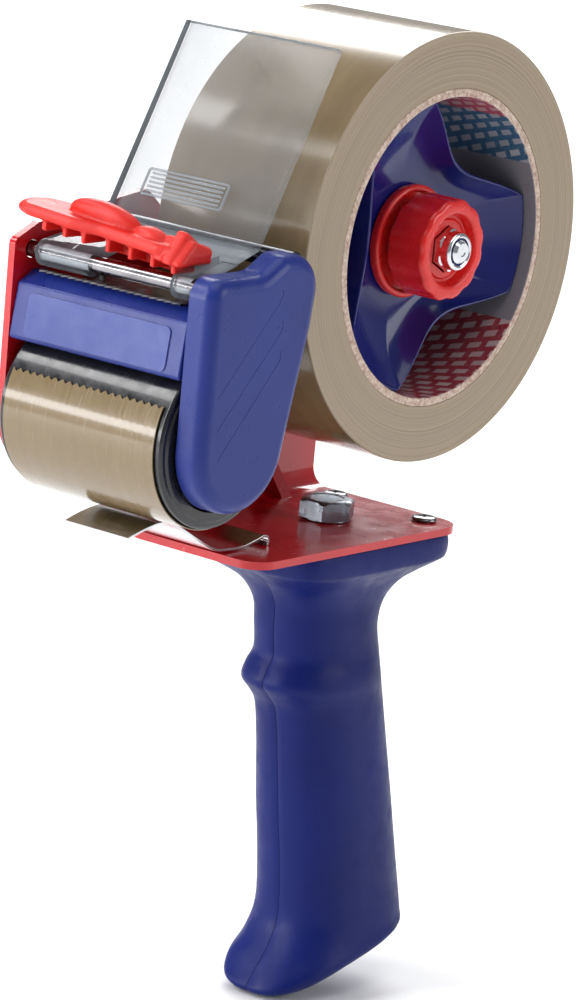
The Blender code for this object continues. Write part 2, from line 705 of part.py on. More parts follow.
# Roller head --------------------------------------------------------------------------------------
def make_roller():
    half = ROLLER_WIDTH / 2
    wheel = 16.5 * MM
    ring("roller_sleeve", wheel + GAP, ROLLER_RADIUS, -half, half, ROLLER_AXIS, RUBBER, chamfer=0.8 * MM)
    bore = ROLLER_AXLE_RADIUS + GAP
    turned("roller_core", [
        (bore, half),
        (7 * MM, half),
        (7 * MM, half - 5 * MM),
        (14 * MM, half - 5 * MM),
        (14 * MM, half - 1 * MM),
        (wheel, half - 1 * MM),
        (wheel, 1 * MM - half),
        (14 * MM, 1 * MM - half),
        (14 * MM, 5 * MM - half),
        (7 * MM, 5 * MM - half),
        (7 * MM, -half),
        (bore, -half),
    ], ROLLER_AXIS, RUBBER, closed=True)
    axle_far = offset_y(ROLLER_AXIS, SIDE_INNER - GAP)
    axle_near = offset_y(ROLLER_AXIS, COVER_FACE + 3 * MM)
    axle = cylinder("roller_axle", ROLLER_AXLE_RADIUS, axle_near, axle_far, STEEL, chamfer=0.4 * MM)
    cut(axle, cross_hole("roller_axle_thread", SMALL_SCREW_RADIUS + GAP, ROLLER_AXIS, 12 * MM, 32 * MM))
    pan_screw("roller_screw", offset_y(ROLLER_AXIS, SIDE_OUTER + GAP), Vector((0, -1, 0)), 14 * MM)


def make_bars():
    """The chrome rod in front and the black guide bar behind it, both across the head."""
    rod_near = offset_y(ROD_AXIS, COVER_FACE + 3 * MM)
    cylinder("front_rod", ROD_RADIUS, rod_near, offset_y(ROD_AXIS, SIDE_OUTER + 0.8 * MM), CHROME,
             chamfer=0.3 * MM)
    bar_near = offset_y(BAR_AXIS, COVER_FACE + 3 * MM)
    bar = cylinder("guide_bar", BAR_RADIUS, bar_near, offset_y(BAR_AXIS, SIDE_INNER - GAP), BLACK_STEEL,
                   chamfer=0.3 * MM)
    cut(bar, cross_hole("guide_bar_thread", SMALL_SCREW_RADIUS + 0.1 * MM, BAR_AXIS, 15 * MM, 32 * MM))
    pan_screw("guide_bar_screw", offset_y(BAR_AXIS, SIDE_OUTER + GAP), Vector((0, -1, 0)), 10 * MM)


def cover_outline(inset=0.0):
    """The cover's side view: round about the roller, square in front, humped over the guide bar."""
    lower = Vector((ROLLER_AXIS.x - 1.5 * MM, 0, ROLLER_AXIS.z))
    radius = 16 * MM - inset
    front = lower.x - radius
    outline = rounded([
        (front, 120 * MM, 0),
        (front, 142.3 * MM - inset, 5 * MM),
        (-85 * MM, 142.3 * MM - inset, 6 * MM),
        (-78 * MM, 146.4 * MM - inset, 6 * MM),
        (-63.2 * MM - inset, 146.4 * MM - inset, 9 * MM),
        (-65.5 * MM - inset, 128 * MM, 8 * MM),
    ])
    outline += arc(lower, radius, -14, -180, 12)
    return outline


def make_cover():
    """A moulded cap over the ends of the rods and the roller axle, open towards the tape."""
    wall = 2 * MM
    cover = side_prism("side_cover", cover_outline(), COVER_FACE, COVER_RIM, BLUE_PLASTIC)
    hollow = side_prism("cover_hollow", cover_outline(wall), COVER_FACE + wall, COVER_RIM + 2 * MM)
    cut(cover, hollow)
    sockets = (
        ("roller", ROLLER_AXIS, ROLLER_AXLE_RADIUS),
        ("rod", ROD_AXIS, ROD_RADIUS),
        ("bar", BAR_AXIS, BAR_RADIUS),
    )
    for name, place, radius in sockets:
        boss = cross_hole(f"cover_boss_{name}", radius + 1.8 * MM, place, COVER_FACE + 1 * MM,
                          COVER_RIM - 0.5 * MM)
        join(cover, boss)
    for name, place, radius in sockets:
        socket = cross_hole(f"cover_socket_{name}", radius + GAP, place, COVER_FACE + 2.5 * MM,
                            COVER_RIM + 2 * MM)
        cut(cover, socket)
    bevel = cover.modifiers.new("soft_edges", "BEVEL")
    bevel.width = 1.2 * MM
    bevel.segments = 1
    bevel.limit_method = "ANGLE"
    bevel.angle_limit = math.radians(60)
    cover.modifiers.move(len(cover.modifiers) - 1, 0)


GUARD_NEAR = COVER_RIM + GAP
GUARD_FAR = SIDE_INNER - GAP
BLADE_Y = 23.5 * MM


def guard_outline():
    """The bridge under the blade: an upright front face and a top that slopes up to the blade."""
    return rounded([
        (-102.6 * MM, 131 * MM, 1.5 * MM),
        (-104.4 * MM, 117.3 * MM, 1 * MM),
        (-101.6 * MM, 117.3 * MM, 1 * MM),
        (-96 * MM, 122.6 * MM, 2 * MM),
        (-86 * MM, 124.2 * MM, 2 * MM),
        (-86 * MM, 133.8 * MM, 1 * MM),
        (-97.5 * MM, 133.8 * MM, 1 * MM),
    ], 3)


def make_guard():
    guard = side_prism("blade_guard", guard_outline(), GUARD_NEAR, GUARD_FAR, BLUE_PLASTIC)
    cut(guard, cross_hole("guard_pilot", SMALL_SCREW_RADIUS + GAP, GUARD_SCREW, 15 * MM, 32 * MM))
    for side, label in ((-1, "near"), (1, "far")):
        top = Vector((-89.5 * MM, side * 15 * MM, 136 * MM))
        cut(guard, cylinder(f"guard_blade_pilot_{label}", SMALL_SCREW_RADIUS + GAP,
                            top - Vector((0, 0, 9 * MM)), top))
    pan_screw("guard_screw", offset_y(GUARD_SCREW, SIDE_OUTER + GAP), Vector((0, -1, 0)), 12 * MM)


BLADE_LOW = 134.1 * MM
BLADE_THICKNESS = 0.6 * MM
BLADE_TEETH = 20


def blade_outline():
    """Plan view of the blade: a straight strip with a saw edge in front."""
    pitch = 2 * BLADE_Y / BLADE_TEETH
    points = [Vector((-86.5 * MM, -BLADE_Y)), Vector((-86.5 * MM, BLADE_Y))]
    for tooth in range(BLADE_TEETH):
        start = BLADE_Y - tooth * pitch
        points.append(Vector((-99 * MM, start)))
        points.append(Vector((-101.2 * MM, start - pitch / 2)))
    points.append(Vector((-99 * MM, -BLADE_Y)))
    return points


def make_blade():
    """A serrated strip on the bridge, under the front rod, held by two screws."""
    blade = top_prism("blade", blade_outline(), BLADE_LOW, BLADE_LOW + BLADE_THICKNESS, CHROME)
    for side, label in ((-1, "near"), (1, "far")):
        face = Vector((-89.5 * MM, side * 15 * MM, BLADE_LOW + BLADE_THICKNESS + GAP))
        hole_top = face + Vector((0, 0, 3 * MM))
        cut(blade, cylinder(f"blade_hole_{label}", SMALL_SCREW_RADIUS + GAP,
                            face - Vector((0, 0, 4 * MM)), hole_top))
        pan_screw(f"blade_screw_{label}", face, Vector((0, 0, -1)), 7 * MM, head_radius=3 * MM)


# Flap and lip on the front rod --------------------------------------------------------------------
FLAP_THICKNESS = 2 * MM
FLAP_Y = 24 * MM
KNUCKLE_RADIUS = 3.4 * MM
FLAP_HEEL = (-77.2 * MM, 147.2 * MM)
FLAP_TOP = (-53 * MM, 193.2 * MM)
FAR_ARM = (8 * MM, 24 * MM)
NEAR_ARM = (-24 * MM, -19 * MM)


def flap_profile():
    """Side view of the flap: a leaning plate and a short foot that points forward."""
    heel = Vector(FLAP_HEEL)
    top = Vector(FLAP_TOP)
    lean = (top - heel).normalized()
    back = Vector((lean.y, -lean.x)) * FLAP_THICKNESS
    knee = Vector((-84 * MM, 144.6 * MM))
    under_knee = knee + Vector((0, -FLAP_THICKNESS))
    under_heel = heel + back + Vector((0, -0.6 * MM))
    return [top, heel, knee, under_knee, under_heel, top + back]


def arm_profile():
    """Side view of one flap arm: from the foot forward to the ring on the rod."""
    return [
        Vector((-83 * MM, 144.5 * MM)),
        Vector((ROD_AXIS.x, ROD_AXIS.z + KNUCKLE_RADIUS)),
        Vector((ROD_AXIS.x, ROD_AXIS.z + 2.4 * MM)),
        Vector((-93 * MM, 139.6 * MM)),
        Vector((-83 * MM, 142.7 * MM)),
    ]


def make_flap():
    flap = side_prism("clear_flap", flap_profile(), -FLAP_Y, FLAP_Y, CLEAR)
    arms = (("near", NEAR_ARM), ("far", FAR_ARM))
    for label, (near, far) in arms:
        join(flap, side_prism(f"flap_arm_{label}", arm_profile(), near, far))
        join(flap, cross_hole(f"flap_ring_{label}", KNUCKLE_RADIUS, ROD_AXIS, near, far))
    bore = ROD_RADIUS + 0.1 * MM
    for label, (near, far) in arms:
        cut(flap, cross_hole(f"flap_bore_{label}", bore, ROD_AXIS, near - 1 * MM, far + 1 * MM))
    set_origin(flap, ROD_AXIS)


LIP_NEAR = -18.5 * MM
LIP_FAR = 7.5 * MM


LIP_SLOPE = 0.07


def make_lip():
    """The red thumb lip: a ledge over the rod that drops to the near side, on a rib between the arms."""
    lip = side_prism("safety_lip", rounded([
        (-94.6 * MM, 141.4 * MM, 0.6 * MM),
        (-91.6 * MM, 142.4 * MM, 0.6 * MM),
        (-91.4 * MM, 147.4 * MM, 0.8 * MM),
        (-94.8 * MM, 147.4 * MM, 0.8 * MM),
    ], 2), LIP_NEAR, LIP_FAR, RED_PLASTIC)
    ledge = top_prism("lip_ledge", rounded([
        (-103.5 * MM, 29.5 * MM, 4 * MM),
        (-103.5 * MM, 12 * MM, 3 * MM),
        (-99.5 * MM, 9 * MM, 3 * MM),
        (-100.5 * MM, -14 * MM, 3 * MM),
        (-98.5 * MM, -22.5 * MM, 3 * MM),
        (-88.2 * MM, -22.5 * MM, 3 * MM),
        (-88.2 * MM, -16 * MM, 2 * MM),
        (-91 * MM, -13 * MM, 2 * MM),
        (-90.2 * MM, 0, 4 * MM),
        (-91 * MM, 13 * MM, 3 * MM),
        (-88.5 * MM, 20 * MM, 3 * MM),
        (-92 * MM, 31 * MM, 4 * MM),
    ], 3), 146.2 * MM, 149.4 * MM)
    for solid in (lip, ledge):
        for vertex in solid.data.vertices:
            vertex.co.z += LIP_SLOPE * (vertex.co.y - LIP_FAR)
    join(lip, ledge)
    set_origin(lip, ROD_AXIS)


# Spring clamp and tape web ------------------------------------------------------------------------
def sheet_section(path, thickness):
    """A closed outline around an open side-view path, offset to its left by the thickness."""
    count = len(path)
    left = []
    for index in range(count):
        before = path[max(index - 1, 0)]
        after = path[min(index + 1, count - 1)]
        along = (after - before).normalized()
        left.append(path[index] + Vector((-along.y, along.x)) * thickness)
    return path + list(reversed(left))


def smooth_path(points, steps=4):
    """Points on a smooth curve through the given ones."""
    path = []
    count = len(points)
    for index in range(count - 1):
        p0 = points[max(index - 1, 0)]
        p1 = points[index]
        p2 = points[index + 1]
        p3 = points[min(index + 2, count - 1)]
        for step in range(steps):
            t = step / steps
            path.append(0.5 * ((2 * p1) + (p2 - p0) * t + (2 * p0 - 5 * p1 + 4 * p2 - p3) * t ** 2
                               + (3 * p1 - p0 - 3 * p2 + p3) * t ** 3))
    path.append(points[-1])
    return path


CLAMP_BEND = (-63 * MM, 0, 67.4 * MM)


def make_clamp():
    """A sprung steel strip hooked in the base plate, whose ridge stands under the roller."""
    points = [Vector((x * MM, z * MM)) for x, z in (
        (-99, 74.9), (-92.5, 76.6), (-86, 77.3), (-80, 75.2), (-73, 71.4),
        (-66.5, 68), (-61, 67.4), (-52, 67.4), (-47.6, 67.0), (-46.6, 65.2), (-46.6, 62.6),
    )]
    section = sheet_section(smooth_path(points, 3), 0.6 * MM)
    clamp = side_prism("tape_clamp", section, CLAMP_NEAR, CLAMP_FAR, CHROME)
    set_origin(clamp, CLAMP_BEND)


WEB_THICKNESS = 0.4 * MM


def make_web():
    """The tape on its way from the roll, round the roller's back and bottom, to the cut end."""
    inner = ROLLER_RADIUS + GAP
    leave = arc(ROLL_AXIS, ROLL_RADIUS + GAP + WEB_THICKNESS, 192, 197, 2)
    meet = arc(ROLLER_AXIS, inner, -8, -208, 36)
    middle = [Vector((-58.4 * MM, 118 * MM)), Vector((-60.7 * MM, 109 * MM))]
    path = smooth_path(leave + middle + meet[:1], 3) + meet[1:]
    section = sheet_section(path, WEB_THICKNESS)
    half = TAPE_WIDTH / 2
    side_prism("tape_web", section, -half, half, TAN_TAPE)


make_frame()
make_handle()
make_handle_fasteners()
make_axle()
make_hub()
make_tape()
make_brake()
make_roller()
make_bars()
make_cover()
make_guard()
make_blade()
make_flap()
make_lip()
make_clamp()
make_web()
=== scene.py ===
"""Looks of the tape gun: detailed meshes, materials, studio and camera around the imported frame."""
import json
import math
import random

import bmesh
import bpy
from mathutils import Matrix, Quaternion, Vector


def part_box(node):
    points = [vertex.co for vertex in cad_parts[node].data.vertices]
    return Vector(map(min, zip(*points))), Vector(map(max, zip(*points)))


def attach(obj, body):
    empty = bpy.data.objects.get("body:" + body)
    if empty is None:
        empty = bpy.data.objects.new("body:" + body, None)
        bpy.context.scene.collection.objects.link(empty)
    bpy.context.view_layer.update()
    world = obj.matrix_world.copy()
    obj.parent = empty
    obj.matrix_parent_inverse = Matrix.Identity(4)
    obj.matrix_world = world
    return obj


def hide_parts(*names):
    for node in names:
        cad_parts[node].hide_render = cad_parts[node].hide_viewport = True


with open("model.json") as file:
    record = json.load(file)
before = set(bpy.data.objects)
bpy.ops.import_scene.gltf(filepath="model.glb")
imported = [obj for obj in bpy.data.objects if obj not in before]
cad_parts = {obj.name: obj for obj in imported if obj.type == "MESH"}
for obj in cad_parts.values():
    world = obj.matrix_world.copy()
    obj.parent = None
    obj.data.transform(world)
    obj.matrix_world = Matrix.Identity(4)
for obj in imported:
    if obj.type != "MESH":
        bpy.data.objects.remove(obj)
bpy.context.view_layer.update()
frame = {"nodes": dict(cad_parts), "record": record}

MM = 0.001
ROUND = 144
SMALL = 48


# Places that come from the frame
def middle(node):
    low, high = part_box(node)
    return (low + high) / 2


def ends(node):
    """A node's near and far place along Y."""
    low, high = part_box(node)
    return low.y, high.y


def axis_of(node):
    """The middle of a node in the side view, at Y = 0."""
    centre = middle(node)
    return Vector((centre.x, 0, centre.z))


ROLL_AXIS = axis_of("tape_roll")
ROLL_RADIUS = (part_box("tape_roll")[1].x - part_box("tape_roll")[0].x) / 2
CORE_RADIUS = (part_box("tape_core")[1].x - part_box("tape_core")[0].x) / 2
CORE_WALL = 2.2 * MM
CORE_INNER = CORE_RADIUS - CORE_WALL
TAPE_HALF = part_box("tape_roll")[1].y
ROLLER_AXIS = axis_of("roller_core")
SLEEVE_RADIUS = (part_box("roller_sleeve")[1].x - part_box("roller_sleeve")[0].x) / 2
SLEEVE_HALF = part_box("roller_sleeve")[1].y
ROD_AXIS = axis_of("front_rod")
BAR_AXIS = axis_of("guide_bar")
BOLT = middle("handle_bolt")
PLATE_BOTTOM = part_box("frame")[0].z
PLATE_TOP = PLATE_BOTTOM + 2 * MM
SIDE_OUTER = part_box("frame")[1].y
COVER_FACE, COVER_RIM = ends("side_cover")
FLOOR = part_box("handle_half_near")[0].z

RECORD = frame["record"]
BODIES = RECORD["behaviour"]["bodies"]
BODY_OF = {member: body_name for body_name, members in BODIES.items() for member in members}


# Outlines and mesh building
def in_mm(points):
    """Points given in millimetres, as metres."""
    return [tuple(value * MM for value in point) for point in points]


def quarter(steps):
    """The angles of a quarter turn."""
    return [math.pi / 2 * step / steps for step in range(steps + 1)]


def arc(centre, radius, start, end, steps):
    """Points (u, v) on a circle, from one angle in degrees to another."""
    points = []
    for step in range(steps + 1):
        angle = math.radians(start + (end - start) * step / steps)
        points.append(Vector((centre[0] + radius * math.cos(angle), centre[1] + radius * math.sin(angle))))
    return points


def rounded(points, steps=8):
    """A closed outline from corners (u, v, radius), each corner as an arc."""
    outline = []
    count = len(points)
    for index in range(count):
        before = Vector(points[index - 1][:2])
        here = Vector(points[index][:2])
        after = Vector(points[(index + 1) % count][:2])
        radius = points[index][2]
        if radius == 0:
            outline.append(here)
            continue
        to_before = (before - here).normalized()
        to_after = (after - here).normalized()
        half_angle = to_before.angle(to_after) / 2
        reach = radius / math.tan(half_angle)
        centre = here + (to_before + to_after).normalized() * (radius / math.sin(half_angle))
        start = here + to_before * reach - centre
        end = here + to_after * reach - centre
        sweep = math.atan2(start.cross(end), start.dot(end))
        for step in range(steps + 1):
            outline.append(centre + Matrix.Rotation(sweep * step / steps, 2) @ start)
    return outline


def smooth_path(points, steps=8):
    """Points on a smooth curve through the given ones."""
    path = []
    count = len(points)
    for index in range(count - 1):
        p0 = points[max(index - 1, 0)]
        p1 = points[index]
        p2 = points[index + 1]
        p3 = points[min(index + 2, count - 1)]
        for step in range(steps):
            t = step / steps
            path.append(0.5 * ((2 * p1) + (p2 - p0) * t + (2 * p0 - 5 * p1 + 4 * p2 - p3) * t ** 2
                               + (3 * p1 - p0 - 3 * p2 + p3) * t ** 3))
    path.append(points[-1])
    return path


def inset_outline(outline, distance):
    """The outline moved inwards by a distance."""
    count = len(outline)
    area = sum(outline[i - 1].cross(outline[i]) for i in range(count))
    side = 1 if area > 0 else -1
    moved = []
    for index, here in enumerate(outline):
        before = (here - outline[index - 1]).normalized()
        after = (outline[(index + 1) % count] - here).normalized()
        normal_before = Vector((-before.y, before.x)) * side
        normal_after = Vector((-after.y, after.x)) * side
        scale = distance / max(1 + normal_before.dot(normal_after), 0.4)
        moved.append(here + (normal_before + normal_after) * scale)
    return moved


def resampled(outline, spacing):
    """The same closed outline with more points on its long straight stretches."""
    points = []
    count = len(outline)
    for index in range(count):
        start = outline[index]
        end = outline[(index + 1) % count]
        pieces = max(1, round((end - start).length / spacing))
        for step in range(pieces):
            points.append(start.lerp(end, step / pieces))
    return points


def on_axis(axis, u, v, along):
    """A point from its two places across an axis and its place along it."""
    if axis == "x":
        return Vector((along, u, v))
    if axis == "y":
        return Vector((u, along, v))
    return Vector((u, v, along))


def skin(rings, closed=False):
    """A body through rings of points, capped at both ends or closed on itself, as a bmesh."""
    bm = bmesh.new()
    loops = [[bm.verts.new(point) for point in ring] for ring in rings]
    count = len(loops[0])
    pairs = list(zip(loops, loops[1:]))
    if closed:
        pairs.append((loops[-1], loops[0]))
    for first, second in pairs:
        for side in range(count):
            after = (side + 1) % count
            bm.faces.new((first[side], first[after], second[after], second[side]))
    if not closed:
        bm.faces.new(list(reversed(loops[0])))
        bm.faces.new(loops[-1])
    bmesh.ops.remove_doubles(bm, verts=bm.verts, dist=1e-7)
    bmesh.ops.recalc_face_normals(bm, faces=bm.faces)
    return bm


def turned(profile, centre, axis="y", steps=ROUND, shape=None, closed=False):
    """A turned body from (radius, place along the axis); shape(radius, angle) can change the radius."""
    second = centre.z if axis == "y" else centre.y
    rings = []
    for radius, along in profile:
        ring = []
        for step in range(steps):
            angle = math.tau * step / steps
            reach = shape(radius, angle) if shape else radius
            u = centre.x + reach * math.cos(angle)
            v = second + reach * math.sin(angle)
            ring.append(on_axis(axis, u, v, along))
        rings.append(ring)
    return skin(rings, closed)


def profile_rounded(points, steps=4):
    """A turned profile from (radius in mm, place in metres, corner radius in mm)."""
    corners = [(radius * MM, place, corner * MM) for radius, place, corner in points]
    return [tuple(point) for point in rounded(corners, steps)]


def mirrored(points):
    """A profile from its far half, with the near half in front of it."""
    return [(radius, -place, corner) for radius, place, corner in points] + points[::-1]


def rounded_box(half_u, half_v, radius, centre_v=0, steps=8):
    """A rounded rectangle's outline, from millimetres."""
    corners = ((-half_u, -half_v), (half_u, -half_v), (half_u, half_v), (-half_u, half_v))
    return rounded(in_mm([(u, centre_v + v, radius) for u, v in corners]), steps)


def prism(outline, low, high, axis="y", edge=0.3 * MM, rounds=4):
    """An outline given thickness along an axis, with its edges rounded at both faces."""
    insets = [(edge * (1 - math.sin(angle)), edge * (1 - math.cos(angle))) for angle in quarter(rounds)]
    layers = [(inset, low + rise) for inset, rise in insets]
    layers += [(inset, high - rise) for inset, rise in reversed(insets)]
    rings = []
    for inset, along in layers:
        rings.append([on_axis(axis, p.x, p.y, along) for p in inset_outline(outline, inset)])
    return skin(rings)


def swept(path, radius, sides):
    """A tube with capped ends along 3D points."""
    rings = []
    count = len(path)
    normal = (path[1] - path[0]).normalized().orthogonal().normalized()
    for index, point in enumerate(path):
        along = (path[min(index + 1, count - 1)] - path[max(index - 1, 0)]).normalized()
        normal = (normal - along * normal.dot(along)).normalized()
        across = along.cross(normal)
        ring = []
        for side in range(sides):
            angle = math.tau * side / sides
            ring.append(point + (normal * math.cos(angle) + across * math.sin(angle)) * radius)
        rings.append(ring)
    return skin(rings)


def merged(*parts):
    """Several bmeshes as one."""
    whole = bmesh.new()
    for part in parts:
        mesh = bpy.data.meshes.new("merge")
        part.to_mesh(mesh)
        part.free()
        whole.from_mesh(mesh)
        bpy.data.meshes.remove(mesh)
    return whole


def refined(node, width, segments=3, sharp=30):
    """A CAD node's shape with its facets joined and its sharp edges rounded."""
    bm = bmesh.new()
    bm.from_mesh(frame["nodes"][node].data)
    bmesh.ops.remove_doubles(bm, verts=bm.verts, dist=1e-6)
    bmesh.ops.dissolve_limit(bm, angle_limit=math.radians(0.6), verts=bm.verts, edges=bm.edges)
    bmesh.ops.recalc_face_normals(bm, faces=bm.faces)
    edges = [e for e in bm.edges if len(e.link_faces) == 2 and e.calc_face_angle() > math.radians(sharp)]
    bmesh.ops.bevel(bm, geom=edges, offset=width, offset_type="OFFSET", segments=segments,
                    profile=0.5, affect="EDGES", clamp_overlap=True)
    return bm


def as_object(name, bm):
    mesh = bpy.data.meshes.new(name)
    bm.to_mesh(mesh)
    bm.free()
    obj = bpy.data.objects.new(name, mesh)
    bpy.context.scene.collection.objects.link(obj)
    return obj


def applied(obj, *used):
    """An object's shape after its modifiers, as a bmesh; it and what it used are removed."""
    graph = bpy.context.evaluated_depsgraph_get()
    mesh = bpy.data.meshes.new_from_object(obj.evaluated_get(graph))
    bm = bmesh.new()
    bm.from_mesh(mesh)
    bpy.data.meshes.remove(mesh)
    for spent in (obj, *used):
        bpy.data.objects.remove(spent, do_unlink=True)
    return bm


def carve(bm, *cutters):
    """A bmesh with other bmeshes cut out of it."""
    body = as_object("carve_body", bm)
    tools = [as_object(f"carve_tool_{index}", cutter) for index, cutter in enumerate(cutters)]
    for tool in tools:
        modifier = body.modifiers.new("carve", "BOOLEAN")
        modifier.operation = "DIFFERENCE"
        modifier.object = tool
        modifier.solver = "EXACT"
    result = applied(body, *tools)
    bmesh.ops.remove_doubles(result, verts=result.verts, dist=1e-6)
    return result


def cube(matrix):
    bm = bmesh.new()
    bmesh.ops.create_cube(bm, size=1, matrix=matrix)
    return bm


def moved(bm, matrix):
    bmesh.ops.transform(bm, matrix=matrix, verts=bm.verts)
    bmesh.ops.recalc_face_normals(bm, faces=bm.faces)
    return bm


def piece(name, bm, mat, *nodes, sharp=32, body=None, slot=None):
    """A finished piece: it gets its material, rides with its CAD body and stands for its CAD nodes."""
    obj = as_object(name, bm)
    obj.data.materials.append(mat)
    obj.data.shade_smooth()
    obj.data.set_sharp_from_angle(angle=math.radians(sharp))
    even = obj.modifiers.new("even_normals", "WEIGHTED_NORMAL")
    even.keep_sharp = True
    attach(obj, body or BODY_OF[nodes[0]])
    if nodes:
        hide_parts(*nodes)
    return obj


# Materials
def srgb(red, green, blue):
    """A linear colour from 0-255 screen values."""
    linear = []
    for value in (red, green, blue):
        share = value / 255
        linear.append(share / 12.92 if share <= 0.04045 else ((share + 0.055) / 1.055) ** 2.4)
    return (*linear, 1.0)


def preset(node, **values):
    """Sets a node's inputs by their names, with _ for a space."""
    for name, value in values.items():
        node.inputs[name.replace("_", " ")].default_value = value


class Surface:
    """A Principled material and the node steps that the materials below share."""

    def __init__(self, name, roughness=0.4, metallic=0.0, coat=0.0, specular=0.5):
        self.material = bpy.data.materials.new(name)
        self.material.use_nodes = True
        self.tree = self.material.node_tree
        self.shader = self.tree.nodes["Principled BSDF"]
        preset(self.shader, Roughness=roughness, Metallic=metallic, Coat_Weight=coat,
               Specular_IOR_Level=specular)
        self.places = self.node("TexCoord")
        self.height = None

    def node(self, kind, **values):
        made = self.tree.nodes.new(f"ShaderNode{kind}")
        preset(made, **values)
        return made

    def link(self, output, target):
        self.tree.links.new(output, target)

    def noise(self, scale, detail=3.0, stretch=(1, 1, 1), rough=0.55):
        """Noise over the object's places, stretched by three factors."""
        mapping = self.node("Mapping", Scale=stretch)
        self.link(self.places.outputs["Object"], mapping.inputs["Vector"])
        node = self.node("TexNoise", Scale=scale, Detail=detail, Roughness=rough)
        self.link(mapping.outputs["Vector"], node.inputs["Vector"])
        return node.outputs["Fac"]

    def math(self, operation, *values, clamp=False):
        """A sum of numbers or sockets."""
        node = self.node("Math")
        node.operation = operation
        node.use_clamp = clamp
        for index, value in enumerate(values):
            if isinstance(value, (int, float)):
                node.inputs[index].default_value = value
            else:
                self.link(value, node.inputs[index])
        return node.outputs[0]

    def ranged(self, value, low, high, from_low=0.3, from_high=0.7):
        node = self.node("MapRange", From_Min=from_low, From_Max=from_high, To_Min=low, To_Max=high)
        self.link(value, node.inputs["Value"])
        return node.outputs["Result"]

    def mix(self, share, first, second):
        """A colour between two; each may be a colour or a socket."""
        node = self.node("Mix")
        node.data_type = "RGBA"
        self.link(share, node.inputs["Factor"])
        for socket, value in (("A", first), ("B", second)):
            target = next(i for i in node.inputs if i.name == socket and i.type == "RGBA")
            if isinstance(value, tuple):
                target.default_value = value
            else:
                self.link(value, target)
        return next(o for o in node.outputs if o.type == "RGBA")

    def color(self, value):
        self.link(value, self.shader.inputs["Base Color"])

    def drift(self, deep, lit, *noise):
        """A colour that drifts between two."""
        self.color(self.mix(self.ranged(self.noise(*noise), 0, 1), deep, lit))

    def roughness(self, value):
        self.link(value, self.shader.inputs["Roughness"])

    def wear(self, low, high, *noise):
        """A roughness that drifts between two."""
        self.roughness(self.ranged(self.noise(*noise), low, high))

    def bump(self, height, distance, strength=1.0):
        """Adds relief; later calls ride on earlier ones."""
        node = self.node("Bump", Strength=strength, Distance=distance)
        self.link(height, node.inputs["Height"])
        if self.height is not None:
            self.link(self.height, node.inputs["Normal"])
        self.height = node.outputs["Normal"]
        self.link(self.height, self.shader.inputs["Normal"])

    def across(self, centre):
        """Distance from an axis along Y, the angle round it in turns of -0.5 to 0.5, and Y."""
        split = self.node("SeparateXYZ")
        self.link(self.places.outputs["Object"], split.inputs[0])
        x = self.math("SUBTRACT", split.outputs["X"], centre.x)
        z = self.math("SUBTRACT", split.outputs["Z"], centre.z)
        squares = self.math("ADD", self.math("MULTIPLY", x, x), self.math("MULTIPLY", z, z))
        angle = self.math("MULTIPLY", self.math("ARCTAN2", z, x), 1 / math.tau)
        return self.math("SQRT", squares), angle, split.outputs["Y"]

    def lines(self, position, per_metre, detail):
        """Noise that only varies along one value, such as a radius."""
        node = self.node("TexNoise", Scale=per_metre, Detail=detail)
        node.noise_dimensions = "1D"
        self.link(position, node.inputs["W"])
        return node.outputs["Fac"]


def painted(name, deep, lit, roughness):
    """Glossy enamel over steel: slow colour drift, orange peel and a clear top."""
    paint = Surface(name, roughness, coat=0.3)
    preset(paint.shader, Coat_Roughness=0.06)
    paint.drift(deep, lit, 28)
    paint.wear(roughness * 0.7, roughness * 1.4, 160, 4)
    paint.bump(paint.noise(420, 2), 0.00005, 0.5)
    paint.bump(paint.noise(45, 2), 0.0003, 0.12)
    return paint.material


def moulded(name, deep, lit, roughness, grain, grain_depth, coat=0.0, specular=0.35):
    """Moulded plastic: a fine spark-eroded grain, faint flow marks and handling marks."""
    plastic = Surface(name, roughness, coat=coat, specular=specular)
    plastic.drift(deep, lit, 35, 4)
    plastic.wear(roughness * 0.8, roughness * 1.25, 220, 5)
    plastic.bump(plastic.noise(grain, 3, rough=0.65), grain_depth, 0.8)
    plastic.bump(plastic.noise(60, 2), 0.0002, 0.08)
    return plastic.material


def metal(name, dark, bright, roughness, brushed=(1, 1, 1)):
    """Plated or bare metal with fine scratches that can run along one direction."""
    steel = Surface(name, roughness, metallic=1.0)
    steel.drift(dark, bright, 90, 4)
    steel.wear(roughness * 0.6, roughness * 1.6, 260, 5, brushed)
    steel.bump(steel.noise(1500, 3, brushed), 0.00002, 0.5)
    return steel.material


def rubber():
    black = Surface("sleeve_rubber", 0.22, coat=0.25)
    black.drift(srgb(14, 14, 17), srgb(30, 31, 36), 80, 4)
    black.wear(0.14, 0.3, 300, 4)
    black.bump(black.noise(900, 3), 0.00003, 0.5)
    return black.material


def red_translucent():
    """Soft-looking red plastic that lets a little light through its thin edges."""
    lip = Surface("lip_red", 0.42, specular=0.35)
    lip.drift(srgb(198, 26, 20), srgb(216, 42, 32), 60, 3)
    preset(lip.shader, Subsurface_Weight=0.35, Subsurface_Radius=(1.0, 0.15, 0.08), Subsurface_Scale=0.003)
    lip.bump(lip.noise(500, 2), 0.00003, 0.4)
    return lip.material


